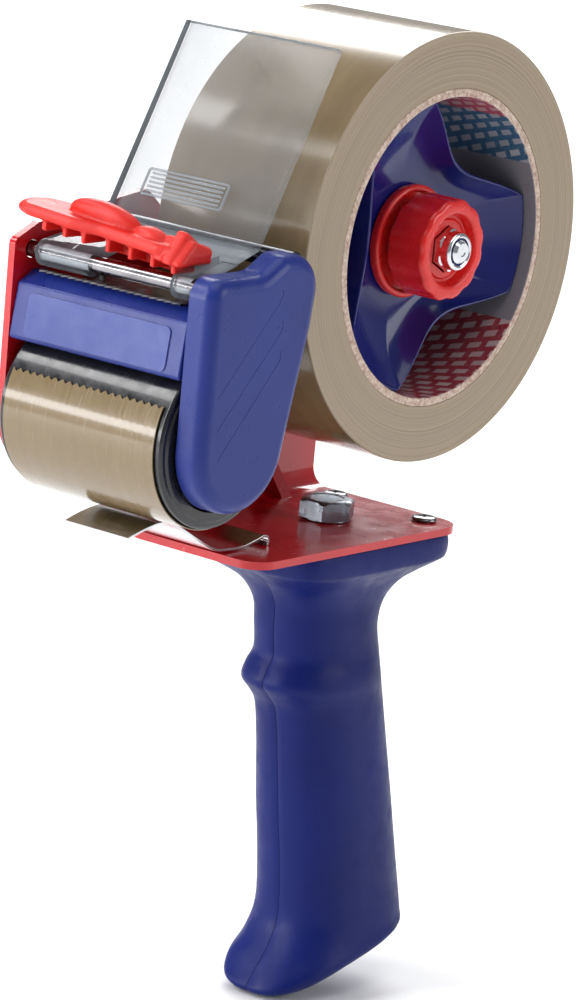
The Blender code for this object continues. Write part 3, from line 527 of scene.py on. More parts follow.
def wound_tape():
    """The roll: a glossy film outside, and fine wound layers with dull glue on the side faces."""
    roll = Surface("wound_tape", 0.25, coat=0.35)
    preset(roll.shader, Coat_Roughness=0.12)
    radius, angle, along = roll.across(ROLL_AXIS)
    on_side = roll.math("GREATER_THAN", roll.math("ABSOLUTE", along), TAPE_HALF - 0.35 * MM)
    layers = roll.lines(radius, 2600, 3)
    broad = roll.lines(radius, 260, 2)
    side = roll.mix(roll.ranged(layers, 0, 1, 0.2, 0.8), srgb(128, 113, 94), srgb(172, 154, 128))
    side = roll.mix(roll.ranged(broad, 0, 0.5), side, srgb(158, 140, 114))
    tread = roll.mix(roll.ranged(roll.noise(40, 3, (1, 4, 1)), 0, 1), srgb(116, 98, 70), srgb(130, 112, 82))
    roll.color(roll.mix(on_side, tread, side))
    roll.roughness(roll.ranged(on_side, 0.2, 0.62, 0, 1))
    roll.bump(roll.math("MULTIPLY", layers, on_side), 0.00008, 0.7)
    roll.bump(roll.noise(70, 3, (1, 6, 1)), 0.00015, 0.12)
    return roll.material


def film():
    """One layer of the tape over the roller, stretched smooth, with faint lines along its run."""
    tape = Surface("tape_film", 0.2, coat=0.8)
    preset(tape.shader, Coat_Roughness=0.08)
    tape.drift(srgb(114, 95, 62), srgb(121, 102, 69), 22, 3, (1, 12, 1))
    tape.wear(0.16, 0.3, 120, 3, (1, 10, 1))
    tape.bump(tape.noise(60, 2, (1, 9, 1)), 0.00005, 0.03)
    return tape.material


def printed_bands(board, angle):
    """Plain bands of ink that wind round the bore, each from its start in degrees to the next."""
    grey = srgb(132, 132, 138)
    teal = srgb(28, 92, 128)
    red = srgb(150, 24, 44)
    pink = srgb(176, 62, 84)
    bands = ((-180, teal), (-150, grey), (-112, red), (-34, grey), (30.5, teal), (57, pink),
             (84, grey), (140, red))
    ramp = board.node("ValToRGB")
    ramp.color_ramp.interpolation = "CONSTANT"
    stops = ramp.color_ramp.elements
    stops.remove(stops[1])
    stops[0].color = bands[0][1]
    for start, tone in bands[1:]:
        stops.new((start + 180) / 360).color = tone
    board.link(board.math("ADD", angle, 0.5), ramp.inputs["Fac"])
    return ramp.outputs["Color"]


def printed_dashes(board, angle, along):
    """Rows of slanting dashes in place of lettering."""
    place = board.node("CombineXYZ")
    around = board.math("MULTIPLY", angle, math.tau * CORE_INNER)
    board.link(along, place.inputs["X"])
    board.link(board.math("ADD", around, board.math("MULTIPLY", along, 0.35)), place.inputs["Y"])
    bricks = board.node("TexBrick", Color1=(1, 1, 1, 1), Color2=(0.7, 0.7, 0.7, 1), Mortar=(0, 0, 0, 1),
                        Scale=100, Mortar_Size=0.1, Mortar_Smooth=0.3, Brick_Width=0.5, Row_Height=0.36)
    board.link(place.outputs[0], bricks.inputs["Vector"])
    return bricks.outputs["Color"]


def core_board():
    """Wound paper board: pale fibres on the rims, and plain printed bands with dashes inside."""
    board = Surface("core_board", 0.75)
    radius, angle, along = board.across(ROLL_AXIS)
    fibres = board.noise(1100, 5)
    paper = board.mix(board.ranged(fibres, 0, 1, 0.35, 0.65), srgb(168, 138, 122), srgb(214, 196, 182))
    bands = printed_bands(board, angle)
    inked = board.node("SeparateColor")
    board.link(bands, inked.inputs[0])
    spread = board.math("ABSOLUTE", board.math("SUBTRACT", inked.outputs["Red"], inked.outputs["Green"]))
    coloured = board.math("GREATER_THAN", spread, 0.05)
    dashes = board.math("MULTIPLY", printed_dashes(board, angle, along), coloured)
    printed = board.mix(board.math("MULTIPLY", dashes, 0.62), bands, srgb(214, 208, 206))
    printed = board.mix(board.ranged(fibres, 0, 0.25), printed, srgb(160, 150, 150))
    bore = board.math("LESS_THAN", radius, CORE_INNER + 0.12 * MM)
    board.color(board.mix(bore, paper, printed))
    board.roughness(board.ranged(bore, 0.85, 0.42, 0, 1))
    board.bump(fibres, 0.00012, 0.6)
    return board.material


def clear(name, haze_and_sheen, tone):
    """Clear acrylic: mostly see-through, glossier at a slant, with faint handling marks; raised opacity and a
    paler colour give a painted sheen.
    """
    sheet = Surface(name, 0.05, coat=0.5)
    marks = sheet.noise(90, 4)
    sheet.color(sheet.mix(sheet.ranged(marks, 0, 1), srgb(*tone), srgb(*(value + 14 for value in tone))))
    sheet.roughness(sheet.ranged(marks, 0.03, 0.1))
    sheet.bump(marks, 0.00002, 0.05)
    slant = sheet.node("Fresnel", IOR=1.45)
    alpha = sheet.math("MULTIPLY_ADD", slant.outputs[0], 1.1, haze_and_sheen, clamp=True)
    sheet.link(alpha, sheet.shader.inputs["Alpha"])
    return sheet.material


RED_PAINT = painted("red_paint", srgb(180, 12, 24), srgb(200, 20, 32), 0.2)
RED_KNOB = moulded("knob_red", srgb(206, 22, 22), srgb(228, 36, 32), 0.26, 1400, 0.00002, coat=0.3)
RED_LIP = red_translucent()
BLUE_MATT = moulded("blue_grained", srgb(8, 22, 88), srgb(13, 28, 100), 0.42, 1800, 0.00004, specular=0.18)
BLUE_HEAD = moulded("blue_satin", srgb(25, 41, 116), srgb(32, 49, 128), 0.32, 1600, 0.00001)
BLUE_PANEL = moulded("blue_panel", srgb(70, 80, 142), srgb(80, 90, 152), 0.5, 2200, 0.00006)
BLUE_GLOSS = moulded("blue_gloss", srgb(15, 22, 94), srgb(21, 29, 106), 0.16, 900, 0.00001, coat=0.2)
CHROME = metal("bright_plate", (0.66, 0.67, 0.7, 1), (0.86, 0.87, 0.9, 1), 0.1)
# Steel coloured darker than its plating: painted shade and painted dark reflection, used on the plate and
# blade screws, the cross rod and the blade.
SHADE_PAINTED_STEEL = metal("steel_painted_shade", (0.16, 0.15, 0.16, 1), (0.34, 0.33, 0.34, 1), 0.16)
STRIP = metal("spring_strip", (0.6, 0.6, 0.62, 1), (0.8, 0.8, 0.82, 1), 0.14, (1, 9, 1))
STEEL = metal("zinc_plate", (0.5, 0.5, 0.5, 1), (0.7, 0.7, 0.7, 1), 0.3)
# Steel darkened and tinted grey-blue for the grip bolt: a painted reflection on its head.
BOLT_STEEL_PAINTED_REFLECTION = metal("bolt_steel_painted_reflection", (0.15, 0.17, 0.2, 1), (0.27, 0.3, 0.34, 1), 0.3)
BLACK_BAR = metal("black_oxide", (0.03, 0.03, 0.035, 1), (0.08, 0.08, 0.09, 1), 0.18, (1, 6, 1))
RUBBER = rubber()
BLACK_PLASTIC = moulded("core_black", srgb(20, 20, 22), srgb(32, 32, 36), 0.4, 1500, 0.00004)
WOUND = wound_tape()
FILM = film()
BOARD = core_board()
CLEAR = clear("clear_sheet", 0.02, (164, 170, 176))
# A paler, more opaque clear sheet for the flap's edge faces and its grip patch: painted sheen along the
# flap's edges.
CLEAR_EDGE_SHEEN = clear("clear_edge_painted_sheen", 0.3, (176, 186, 192))


# Frame, handle and fasteners
def make_frame():
    piece("frame_sheet", refined("frame", 0.45 * MM), RED_PAINT, "frame", sharp=40)


# Each section: height, centre X, half depth in X, half width in Y, squareness, rise towards the rear.
HANDLE_SECTIONS = (
    (64.7, -11, 29.8, 21.3, 7, 0),
    (64.2, -11, 30.3, 21.8, 7, 0),
    (62, -10.8, 30.6, 22.1, 7, 0),
    (58.8, -10.5, 30.4, 21.9, 6.4, 0),
    (57.6, -10.2, 29.4, 21.1, 5.6, 0),
    (55.5, -9.6, 26.1, 18.7, 4.5, 0),
    (52, -9.4, 21.3, 15.5, 3.4, 0),
    (46.5, -9.4, 18, 13.3, 2.8, 0),
    (40, -9.5, 17.4, 13, 2.5, 0),
    (33, -8.3, 17.7, 13.2, 2.5, 0),
    (29, -9.1, 19.1, 14.1, 2.5, 0),
    (25.5, -9.2, 20, 14.5, 2.5, 0),
    (22, -7, 19, 13.9, 2.5, 0),
    (18, -5, 18.1, 13.7, 2.5, 0),
    (8, -2.6, 18.3, 13.9, 2.5, 0),
    (-8, 0.7, 19, 14.6, 2.5, 0),
    (-24, 4.2, 19.5, 14.9, 2.5, 0.03),
    (-36.7, 6.3, 20.3, 15.1, 2.6, 0.09),
    (-43.4, 5.1, 22.4, 15.8, 2.7, 0.16),
    (-47.8, 2.5, 24.4, 16.6, 2.8, 0.2),
    (-51.3, -2, 22.3, 14.5, 2.8, 0.23),
    (-53.2, -2.4, 19.6, 11.6, 2.6, 0.25),
    (-53.9, -2.4, 15, 7.6, 2.4, 0.25),
)
HANDLE_SIDES = 64
SEAM = 0.14 * MM
SEAM_ROUND = 0.3 * MM


def handle_ring(section, side):
    """Half of a section, from its front edge round one side to its rear edge."""
    height, centre, depth, width, squareness, rise = section
    power = 2 / squareness
    ring = []
    for step in range(HANDLE_SIDES + 1):
        angle = math.pi * step / HANDLE_SIDES
        x = math.copysign(abs(math.cos(angle)) ** power, math.cos(angle)) * depth * MM
        y = abs(math.sin(angle)) ** power * width * MM
        if step in (0, HANDLE_SIDES):
            x -= math.copysign(SEAM_ROUND, x)
            y = SEAM / 2
        y = max(y, SEAM / 2)
        ring.append(Vector((centre * MM + x, side * y, height * MM + rise * x)))
    return ring


def screw_pocket(node):
    """The round pocket over a handle screw's head."""
    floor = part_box(node)[1].y - 2.5 * MM
    radius = 4.2 * MM
    return turned([(0, floor), (radius, floor), (radius, 20 * MM), (0, 20 * MM)], axis_of(node), steps=SMALL)


def make_handle():
    """Two moulded halves with a fine seam between them; the far half takes the screws."""
    sections = smooth_path([Vector(section) for section in HANDLE_SECTIONS], 4)
    for side, label in ((-1, "near"), (1, "far")):
        bm = skin([handle_ring(section, side) for section in sections])
        if label == "far":
            bm = carve(bm, screw_pocket("handle_screw_1"), screw_pocket("handle_screw_2"))
        piece(f"handle_{label}", bm, BLUE_MATT, f"handle_half_{label}", sharp=50)


def hexagon(across_flats):
    """A shape for turned(): the radius where it is inside a hexagon, and the hexagon elsewhere."""
    def shape(radius, angle):
        turn = (angle + math.pi / 6) % (math.pi / 3) - math.pi / 6
        return min(radius, across_flats / 2 / math.cos(turn))
    return shape


def chamfered(corner, low, high, bottom=False, inner=0.0):
    """A turned profile for a hexagon, whose corners are cut back by cones at the top, or both ends."""
    cone = 0.14 * corner
    profile = [(inner, low)]
    if bottom:
        profile += [(corner - cone * 1.6, low), (corner - cone * 0.8, low + cone * 0.35)]
    profile += [(corner, low + (cone * 0.8 if bottom else 0)), (corner, high - cone * 0.8)]
    profile += [(corner - cone * 0.8, high - cone * 0.35), (corner - cone * 1.6, high), (inner, high)]
    return profile


def threads(radius, low, high, pitch):
    """A turned profile of thread crests from one place to another."""
    profile = []
    count = max(1, int((high - low) / pitch))
    for turn in range(count):
        along = low + turn * pitch
        profile += [(radius * 0.9, along), (radius, along + pitch * 0.4), (radius, along + pitch * 0.6)]
    profile.append((radius * 0.88, high))
    return profile


def make_handle_bolt():
    low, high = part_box("handle_bolt")
    head_low = PLATE_TOP + 0.3 * MM
    corner = 7.5 * MM
    head = chamfered(corner, head_low + 0.4 * MM, high.z)
    head[-1:] = [(4.3 * MM, high.z), (4.1 * MM, high.z - 0.18 * MM), (0, high.z - 0.18 * MM)]
    shank = [(0, low.z)] + threads(4 * MM, low.z + 0.6 * MM, low.z + 22 * MM, 1.25 * MM)
    washer_face = [(4 * MM, head_low), (6.2 * MM, head_low), (6.2 * MM, head_low + 0.4 * MM)]
    bm = turned(shank + washer_face + head[1:], BOLT, "z", 144, hexagon(13 * MM))
    # The grip bolt's dark grey-blue steel is a painted reflection.
    piece("grip_bolt", bm, BOLT_STEEL_PAINTED_REFLECTION, "handle_bolt", sharp=28)
    piece("grip_nut", refined("handle_nut", 0.4 * MM), STEEL, "handle_nut")


def cross_head(node, axis, mat=STEEL, height=2.2 * MM):
    """A pan-head screw with a domed head and a cross recess; its head faces along the axis."""
    low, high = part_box(node)
    index = "xyz".index(axis)
    tip = low[index]
    top = high[index]
    face = top - height
    head = (high.x - low.x) / 2
    profile = [(0, tip), (1.1 * MM, tip), (1.9 * MM, tip + 1.5 * MM), (1.9 * MM, face), (head * 0.94, face)]
    for angle in quarter(6):
        rise = 0.3 * MM + (height - 0.3 * MM) * math.sin(angle)
        profile.append((head * math.cos(angle) ** 0.5, face + rise))
    place = middle(node)
    bm = turned(profile, place, axis, SMALL)
    place[index] = top
    tilt = Matrix.Rotation(math.radians(-90 if axis == "y" else 0), 4, "X")
    size = Matrix.Diagonal((head * 1.05, 0.75 * MM, height, 1))
    spins = [Matrix.Rotation(turn, 4, "Z") for turn in (0.6, 0.6 + math.pi / 2)]
    arms = [cube(Matrix.Translation(place) @ tilt @ spin @ size) for spin in spins]
    piece(f"{node}_head", carve(bm, *arms), mat, node, sharp=35)


def make_screws():
    # The plate and blade screws use the darkened steel: painted shade.
    for node in ("plate_screw_near", "plate_screw_far"):
        cross_head(node, "z", SHADE_PAINTED_STEEL, 1.1 * MM)
    for node in ("blade_screw_near", "blade_screw_far"):
        cross_head(node, "z", SHADE_PAINTED_STEEL)
    for node in ("handle_screw_1", "handle_screw_2", "roller_screw", "guide_bar_screw", "guard_screw"):
        cross_head(node, "y")


# Tape, hub and brake
HUB_ARMS = 3
HUB_STEPS = 240
HUB_TURN = -3
HUB_ARM_HALF = 19.5
HUB_RADIUS = CORE_INNER - 0.4 * MM
HUB_WAIST = 22.7 * MM
HUB_NEAR, HUB_FAR = ends("hub")
HUB_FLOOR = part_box("brake_flange")[1].y + 0.3 * MM
HUB_BORE = 3.3 * MM


def hub_edge(angle):
    """Distance from the axis to the hub's outline: round arm ends joined by hollow waists."""
    pitch = 360 / HUB_ARMS
    turn = (angle - HUB_TURN + pitch / 2) % pitch - pitch / 2
    if abs(turn) <= HUB_ARM_HALF + 0.01:
        return HUB_RADIUS
    across = (pitch / 2 - abs(turn)) / (pitch / 2 - HUB_ARM_HALF)
    return HUB_WAIST + (HUB_RADIUS - HUB_WAIST) * across ** 2.2


def hub_ring(reach, along):
    """A ring round the hub; reach and along are functions of the outline's distance."""
    ring = []
    for step in range(HUB_STEPS):
        degrees = HUB_TURN + 360 * step / HUB_STEPS
        angle = math.radians(degrees)
        edge = hub_edge(degrees)
        radius = reach(edge)
        ring.append(ROLL_AXIS + Vector((radius * math.cos(angle), along(edge), radius * math.sin(angle))))
    return ring


def rim_place(edge):
    """Where the dish's rim stands along Y: furthest out on the arm ends, lower on the waists."""
    share = (edge - HUB_WAIST) / (HUB_RADIUS - HUB_WAIST)
    return HUB_NEAR + 3.2 * MM * (1 - share) ** 1.3


def make_hub():
    """A dished cup with three arms, hollow round its bearing sleeve at the back."""
    lip = 1.1 * MM
    wall = 0.5 * MM
    flat = 15.5 * MM
    steps = 14
    rings = []
    for share in (0, 0.5, 1):
        rings.append(hub_ring(lambda edge: HUB_BORE + (flat - HUB_BORE) * share, lambda edge: HUB_FLOOR))
    for step in range(1, steps + 1):
        share = step / steps
        rings.append(hub_ring(
            lambda edge: flat + (edge - lip - flat) * share,
            lambda edge: HUB_FLOOR + (rim_place(edge) - HUB_FLOOR + 0.15 * MM) * share ** 2.1))
    for step in range(7):
        angle = math.pi * step / 6
        rings.append(hub_ring(
            lambda edge: edge - lip / 2 - lip / 2 * math.cos(angle),
            lambda edge: rim_place(edge) - wall * math.sin(angle) + wall * 0.9))
    rings.append(hub_ring(lambda edge: edge, lambda edge: HUB_FAR - 0.6 * MM))
    rings.append(hub_ring(lambda edge: edge - 0.6 * MM, lambda edge: HUB_FAR))
    for radius, place in ((19.5, HUB_FAR), (19, HUB_FLOOR + 3 * MM), (11.5, HUB_FLOOR + 3 * MM),
                          (11, 15 * MM), (HUB_BORE / MM, 15 * MM)):
        rings.append(hub_ring(lambda edge: radius * MM, lambda edge: place))
    piece("hub_cup", skin(rings, closed=True), BLUE_GLOSS, "hub", sharp=40)


def make_tape():
    """The paper core and the wound roll, whose sides show their layers as fine uneven ridges."""
    draw = random.Random(5)
    half = TAPE_HALF
    core = profile_rounded(mirrored([(CORE_INNER / MM, half, 0.35), (CORE_RADIUS / MM, half, 0.35)]))
    piece("core_tube", turned(core, ROLL_AXIS, closed=True), BOARD, "tape_core")
    inner = CORE_RADIUS + 0.05 * MM
    layers = 44
    ridges = []
    for step in range(layers + 1):
        radius = inner + (ROLL_RADIUS - 0.25 * MM - inner) * step / layers
        ridges.append((radius, half - draw.uniform(0.02, 0.14) * MM))
    near = [(radius, -place) for radius, place in ridges]
    outer = [(ROLL_RADIUS, -half + 0.3 * MM), (ROLL_RADIUS, half - 0.3 * MM)]
    roll = near + outer + list(reversed(ridges))
    piece("tape_wound", turned(roll, ROLL_AXIS, steps=192, closed=True), WOUND, "tape_roll", sharp=45)


KNOB_NEAR, KNOB_FAR = ends("brake_knob")
KNOB_RADIUS = 13 * MM
KNOB_LOBES = 12
KNOB_FLUTE = 0.5 * MM
KNOB_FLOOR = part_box("axle_nut")[1].y + 0.3 * MM
KNOB_SHELF = KNOB_NEAR + 2.4 * MM
SOCKET_FLATS = 10.6 * MM


def scalloped(radius, angle):
    """A shape for turned(): flutes round the knob's outside and a hexagon socket in its middle."""
    if radius < 7 * MM:
        return hexagon(SOCKET_FLATS)(radius, angle)
    share = min(1.0, max(0.0, (radius - 10 * MM) / (2.2 * MM)))
    flute = abs(math.cos(angle * KNOB_LOBES / 2)) ** 3
    return radius - KNOB_FLUTE * flute * share


def make_knob():
    bore = HUB_BORE / MM
    outer = KNOB_RADIUS / MM
    profile = profile_rounded([
        (bore, KNOB_FLOOR, 0), (6.2, KNOB_FLOOR, 0), (6.2, KNOB_SHELF, 0.2), (7.4, KNOB_SHELF, 0.3),
        (7.7, KNOB_SHELF + 0.6 * MM, 0.2), (8.6, KNOB_SHELF + 0.6 * MM, 0.4), (9.3, KNOB_NEAR, 0.8),
        (outer - 0.1, KNOB_NEAR, 1.3), (outer, KNOB_FAR, 0.6), (11.2, KNOB_FAR, 0.3),
        (11.2, KNOB_FLOOR + 1.7 * MM, 0.3), (bore, KNOB_FLOOR + 1.7 * MM, 0),
    ], 5)
    piece("knob_grip", turned(profile, ROLL_AXIS, steps=288, shape=scalloped, closed=True), RED_KNOB,
          "brake_knob", sharp=40)


def make_flange():
    near, far = ends("brake_flange")
    bore = HUB_BORE / MM
    web = far - 1.2 * MM
    profile = profile_rounded([(bore, far, 0), (14.3, far, 0.4), (14.5, near, 0.9), (12.9, near, 0.5),
                               (12.6, web, 0.4), (bore, web, 0)], 5)
    piece("flange_ring", turned(profile, ROLL_AXIS, closed=True), RED_KNOB, "brake_flange")


BRAKE_SQUEEZE = 0.35 * MM


def make_spring():
    """The coil stops short of the washer by what the brake squeezes it."""
    low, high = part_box("brake_spring")
    wire = 0.6 * MM
    mean = (high.x - low.x) / 2 - wire
    turns = 2.4
    steps = round(turns * 40)
    path = []
    for step in range(steps + 1):
        angle = math.tau * turns * step / steps
        along = high.y - wire + (low.y + BRAKE_SQUEEZE - high.y + 2 * wire) * step / steps
        path.append(ROLL_AXIS + Vector((mean * math.cos(angle), along, mean * math.sin(angle))))
    piece("spring_coil", swept(path, wire, 14), CHROME, "brake_spring")


def washer(name, node, outer):
    low, high = ends(node)
    profile = profile_rounded([(3.3, low, 0.15), (outer, low, 0.3), (outer, high, 0.3), (3.3, high, 0.15)])
    piece(name, turned(profile, ROLL_AXIS, closed=True), STEEL, node)


M6_CORNER = 5.78 * MM
M6_HEXAGON = hexagon(10 * MM)


def make_lock_nut():
    """A lock nut: a hexagon with a round collar rolled over a plastic ring."""
    near, far = ends("axle_nut")
    collar_end = far - 5.4 * MM
    profile = [(3.3 * MM, far), (5 * MM, far), (5.5 * MM, far - 0.3 * MM), (M6_CORNER, far - 0.7 * MM),
               (M6_CORNER, collar_end + 0.8 * MM), (5.45 * MM, collar_end + 0.3 * MM),
               (4.95 * MM, collar_end)]
    fold = 0.8 * MM
    for angle in quarter(6):
        profile.append((4 * MM + fold * math.cos(angle), near + fold - fold * math.sin(angle)))
    profile += [(3.55 * MM, near + 0.25 * MM), (3.5 * MM, near + 1.1 * MM), (3.3 * MM, near + 1.2 * MM)]
    piece("lock_nut", turned(profile, ROLL_AXIS, shape=M6_HEXAGON, closed=True), CHROME, "axle_nut", sharp=28)
    low = near + 0.5 * MM
    high = near + 1.05 * MM
    insert = profile_rounded([(3.02, low, 0.15), (3.48, low, 0.15), (3.48, high, 0), (3.02, high, 0)])
    piece("lock_nut_ring", turned(insert, ROLL_AXIS, steps=96, closed=True), BLUE_GLOSS, body="knob",
          slot="blue_plastic")


def make_axle():
    low, high = ends("axle_bolt")
    head_far = SIDE_OUTER + 0.3 * MM
    end = [(0, low + 0.25 * MM), (0.8 * MM, low + 0.25 * MM), (1.1 * MM, low), (2.3 * MM, low)]
    shank = threads(3 * MM, low + 0.5 * MM, low + 12 * MM, 1 * MM)
    head = [(3 * MM, head_far), (4.8 * MM, head_far), (4.8 * MM, head_far + 0.3 * MM)]
    hexed = chamfered(M6_CORNER, head_far + 0.3 * MM, high)[1:]
    bm = turned(end + shank + head + hexed, ROLL_AXIS, shape=M6_HEXAGON)
    piece("axle_screw", bm, CHROME, "axle_bolt", sharp=28)
    nut_low, nut_high = ends("axle_jam_nut")
    jam = chamfered(M6_CORNER, nut_low, nut_high, bottom=True, inner=3.3 * MM)
    piece("jam_nut", turned(jam, ROLL_AXIS, shape=M6_HEXAGON, closed=True), STEEL, "axle_jam_nut", sharp=28)
    washer("hub_disc", "hub_washer", 9)
    washer("spring_disc", "spring_washer", 10.2)


# Roller head
def make_roller():
    half = SLEEVE_HALF
    tread = half - 0.5 * MM
    rubber_edge = SLEEVE_RADIUS / MM
    sleeve = profile_rounded(mirrored([
        (16.8, half, 0.3), (19.2, half, 0.3), (19.6, tread, 0.3), (rubber_edge, tread, 0.9)]))
    piece("roller_rubber", turned(sleeve, ROLLER_AXIS, closed=True), RUBBER, "roller_sleeve")
    web = half - 5 * MM
    rim = half - 1 * MM
    outline = [(4.3, half), (7, half), (7.4, web), (13.6, web), (14, rim), (16.5, rim)]
    core = profile_rounded(mirrored([(radius, place, 0.4) for radius, place in outline]))
    piece("roller_wheel", turned(core, ROLLER_AXIS, closed=True), BLACK_PLASTIC, "roller_core")


def rod(name, node, axis, radius, mat):
    low, high = ends(node)
    side = profile_rounded([(radius, low, 0.4), (radius, high, 0.4), (0, high, 0), (0, low, 0)])[:-2]
    piece(name, turned([(0, low), *side, (0, high)], axis, steps=64), mat, node)


def make_bars():
    # The cross rod's darkened steel is a painted dark reflection.
    rod("cross_rod", "front_rod", ROD_AXIS, 2, SHADE_PAINTED_STEEL)
    rod("guide_rod", "guide_bar", BAR_AXIS, 2.5, BLACK_BAR)
    rod("roller_pin", "roller_axle", ROLLER_AXIS, 4, STEEL)


def cover_outline():
    """The cover's side view: round about the roller, square in front, humped over the guide bar."""
    centre = ROLLER_AXIS - Vector((1.5, 0, 0)) * MM
    foot = arc(centre.xz, 16 * MM, -14, -180, 40)
    front = centre.x / MM - 16
    corners = in_mm([(front, 120, 0), (front, 142.3, 5), (-85, 142.3, 6), (-78, 146.4, 6),
                     (-63.2, 146.4, 9), (-65.5, 128, 8)])
    outline = rounded(corners + [(*foot[0], 0), (*foot[-1], 0)], 14)
    return outline[:-1] + foot[1:]


# The three fine ridges on the cover's face, each from its top to its foot in the side view.
RIDGES = (
    ((-79.3, 135.6), (-99, 114.2)),
    ((-78.2, 128), (-98.2, 106.4)),
    ((-78, 120.8), (-97.4, 99)),
)


def make_cover():
    """The moulded side cap with a broad soft edge, fine ridges on its face and sockets inside."""
    wall = 2 * MM
    fillet = 3.6 * MM
    outline = resampled(cover_outline(), 2.5 * MM)
    layers = []
    for angle in quarter(9):
        layers.append((fillet * (1 - math.sin(angle)), COVER_FACE + fillet * (1 - math.cos(angle))))
    layers += [(0, COVER_RIM - 0.4 * MM), (0.4 * MM, COVER_RIM), (wall - 0.4 * MM, COVER_RIM),
               (wall, COVER_RIM - 0.4 * MM), (wall, COVER_FACE + fillet), (wall + 1 * MM, COVER_FACE + wall)]
    rings = []
    for inset, along in layers:
        rings.append([Vector((p.x, along, p.y)) for p in inset_outline(outline, inset)])
    shell = skin(rings)
    ridges = []
    for (top_x, top_z), (foot_x, foot_z) in RIDGES:
        top = Vector((top_x, 0, top_z)) * MM
        foot = Vector((foot_x, 0, foot_z)) * MM
        hook = [top + Vector(bend) * MM for bend in ((0.5, 0, 1.1), (0.9, 0, 2.0), (0.3, 0, 2.9))]
        path = [foot.lerp(top, share / 6) for share in range(7)] + hook
        for point in path:
            point.y = COVER_FACE + 0.16 * MM
        ridges.append(swept(path, 0.28 * MM, 10))
    bosses = []
    for axis, radius in ((ROLLER_AXIS, 4), (ROD_AXIS, 1.6)):
        inner = (radius + 0.3) * MM
        outer = (radius + 1.8) * MM
        foot = COVER_FACE + 2.3 * MM
        top = COVER_RIM - 0.5 * MM
        ring = [(inner, foot), (outer, foot), (outer, top), (inner, top)]
        bosses.append(turned(ring, axis, steps=SMALL, closed=True))
    piece("cover_cap", merged(shell, *ridges, *bosses), BLUE_HEAD, "side_cover", sharp=38)


def make_guard():
    """The bridge under the blade, with a framed panel sunk into its front face."""
    outline = rounded(in_mm([(-102.6, 131, 0.9), (-104.4, 117.3, 1), (-101.6, 117.3, 1), (-96, 122.6, 2),
                             (-86, 124.2, 2), (-86, 133.8, 1), (-97.5, 133.8, 1)]), 6)
    body = prism(outline, *ends("blade_guard"), edge=0.5 * MM)
    panel = rounded_box(22.6, 5.4, 1.6)
    lean = Matrix.Rotation(math.atan2(1.8, 13.7), 4, "Y")
    face = Matrix.Translation(Vector((-103.5, 0.4, 123.9)) * MM) @ lean @ Matrix.Scale(-1, 4, (1, 0, 0))
    recess = moved(prism(panel, -0.35 * MM, 3 * MM, "x", edge=0.2 * MM), face)
    piece("guard_bridge", carve(body, recess), BLUE_HEAD, "blade_guard", sharp=38)
    plate = moved(prism(panel, -0.1 * MM, 0.4 * MM, "x", edge=0.1 * MM), face)
    piece("guard_panel", plate, BLUE_PANEL, body="body", slot="blue_plastic")
    # The blade's darkened steel is painted shade.
    piece("saw_blade", refined("blade", 0.1 * MM, 2), SHADE_PAINTED_STEEL, "blade")


# Flap, lip, clamp and web
def grip_patch():
    """A plain border with five ribs in it, lying in the X = 0 plane."""
    border = rounded_box(13, 3.6, 1)
    rings = []
    section = ((0.6, -0.05), (0.6, 0.25), (0.45, 0.35), (0.15, 0.35), (0, 0.25), (0, -0.05))
    for inset, height in in_mm(section):
        rings.append([Vector((height, p.x, p.y)) for p in inset_outline(border, inset)])
    parts = [skin(rings, closed=True)]
    for row in range(-2, 3):
        rib = rounded_box(11.6, 0.32, 0.3, row * 1.15, 4)
        parts.append(prism(rib, -0.05 * MM, 0.32 * MM, "x", edge=0.15 * MM))
    return merged(*parts)


def make_flap():
    """The clear flap with its arms, and a plain ribbed grip patch on its front face."""
    obj = piece("flap_sheet", refined("clear_flap", 0.25 * MM), CLEAR, "clear_flap", sharp=40)
    obj.data.materials.append(CLEAR_EDGE_SHEEN)
    heel = Vector((-77.2, 0, 147.2)) * MM
    top = Vector((-53.0, 0, 193.2)) * MM
    lean = (top - heel).normalized()
    outward = Vector((-lean.z, 0, lean.x))
    # Edge faces above the heel take the paler sheet: painted sheen along the flap's edges.
    for polygon in obj.data.polygons:
        if polygon.center.z > heel.z and abs(polygon.normal.dot(outward)) < 0.9:
            polygon.material_index = 1
    tilt = Matrix(((-lean.z, 0, lean.x, 0), (0, 1, 0, 0), (lean.x, 0, lean.z, 0), (0, 0, 0, 1)))
    place = heel + lean * 9.6 * MM + Vector((0, 3 * MM, 0))
    patch = moved(grip_patch(), Matrix.Translation(place) @ tilt)
    piece("flap_grip_patch", patch, CLEAR_EDGE_SHEEN, body="flap", slot="clear_plastic")


LIP_SLOPE = 0.07
LIP_FAR = 7.5 * MM


def blob(centre, size, tilt):
    """A rounded mound; tilt leans it about the Y direction, in degrees."""
    bm = bmesh.new()
    place = Matrix.Translation(Vector(centre) * MM) @ Matrix.Rotation(math.radians(tilt), 4, "Y")
    scale = Matrix.Diagonal((*(Vector(size) * MM), 1))
    bmesh.ops.create_uvsphere(bm, u_segments=48, v_segments=24, radius=1, matrix=place @ scale)
    return bm


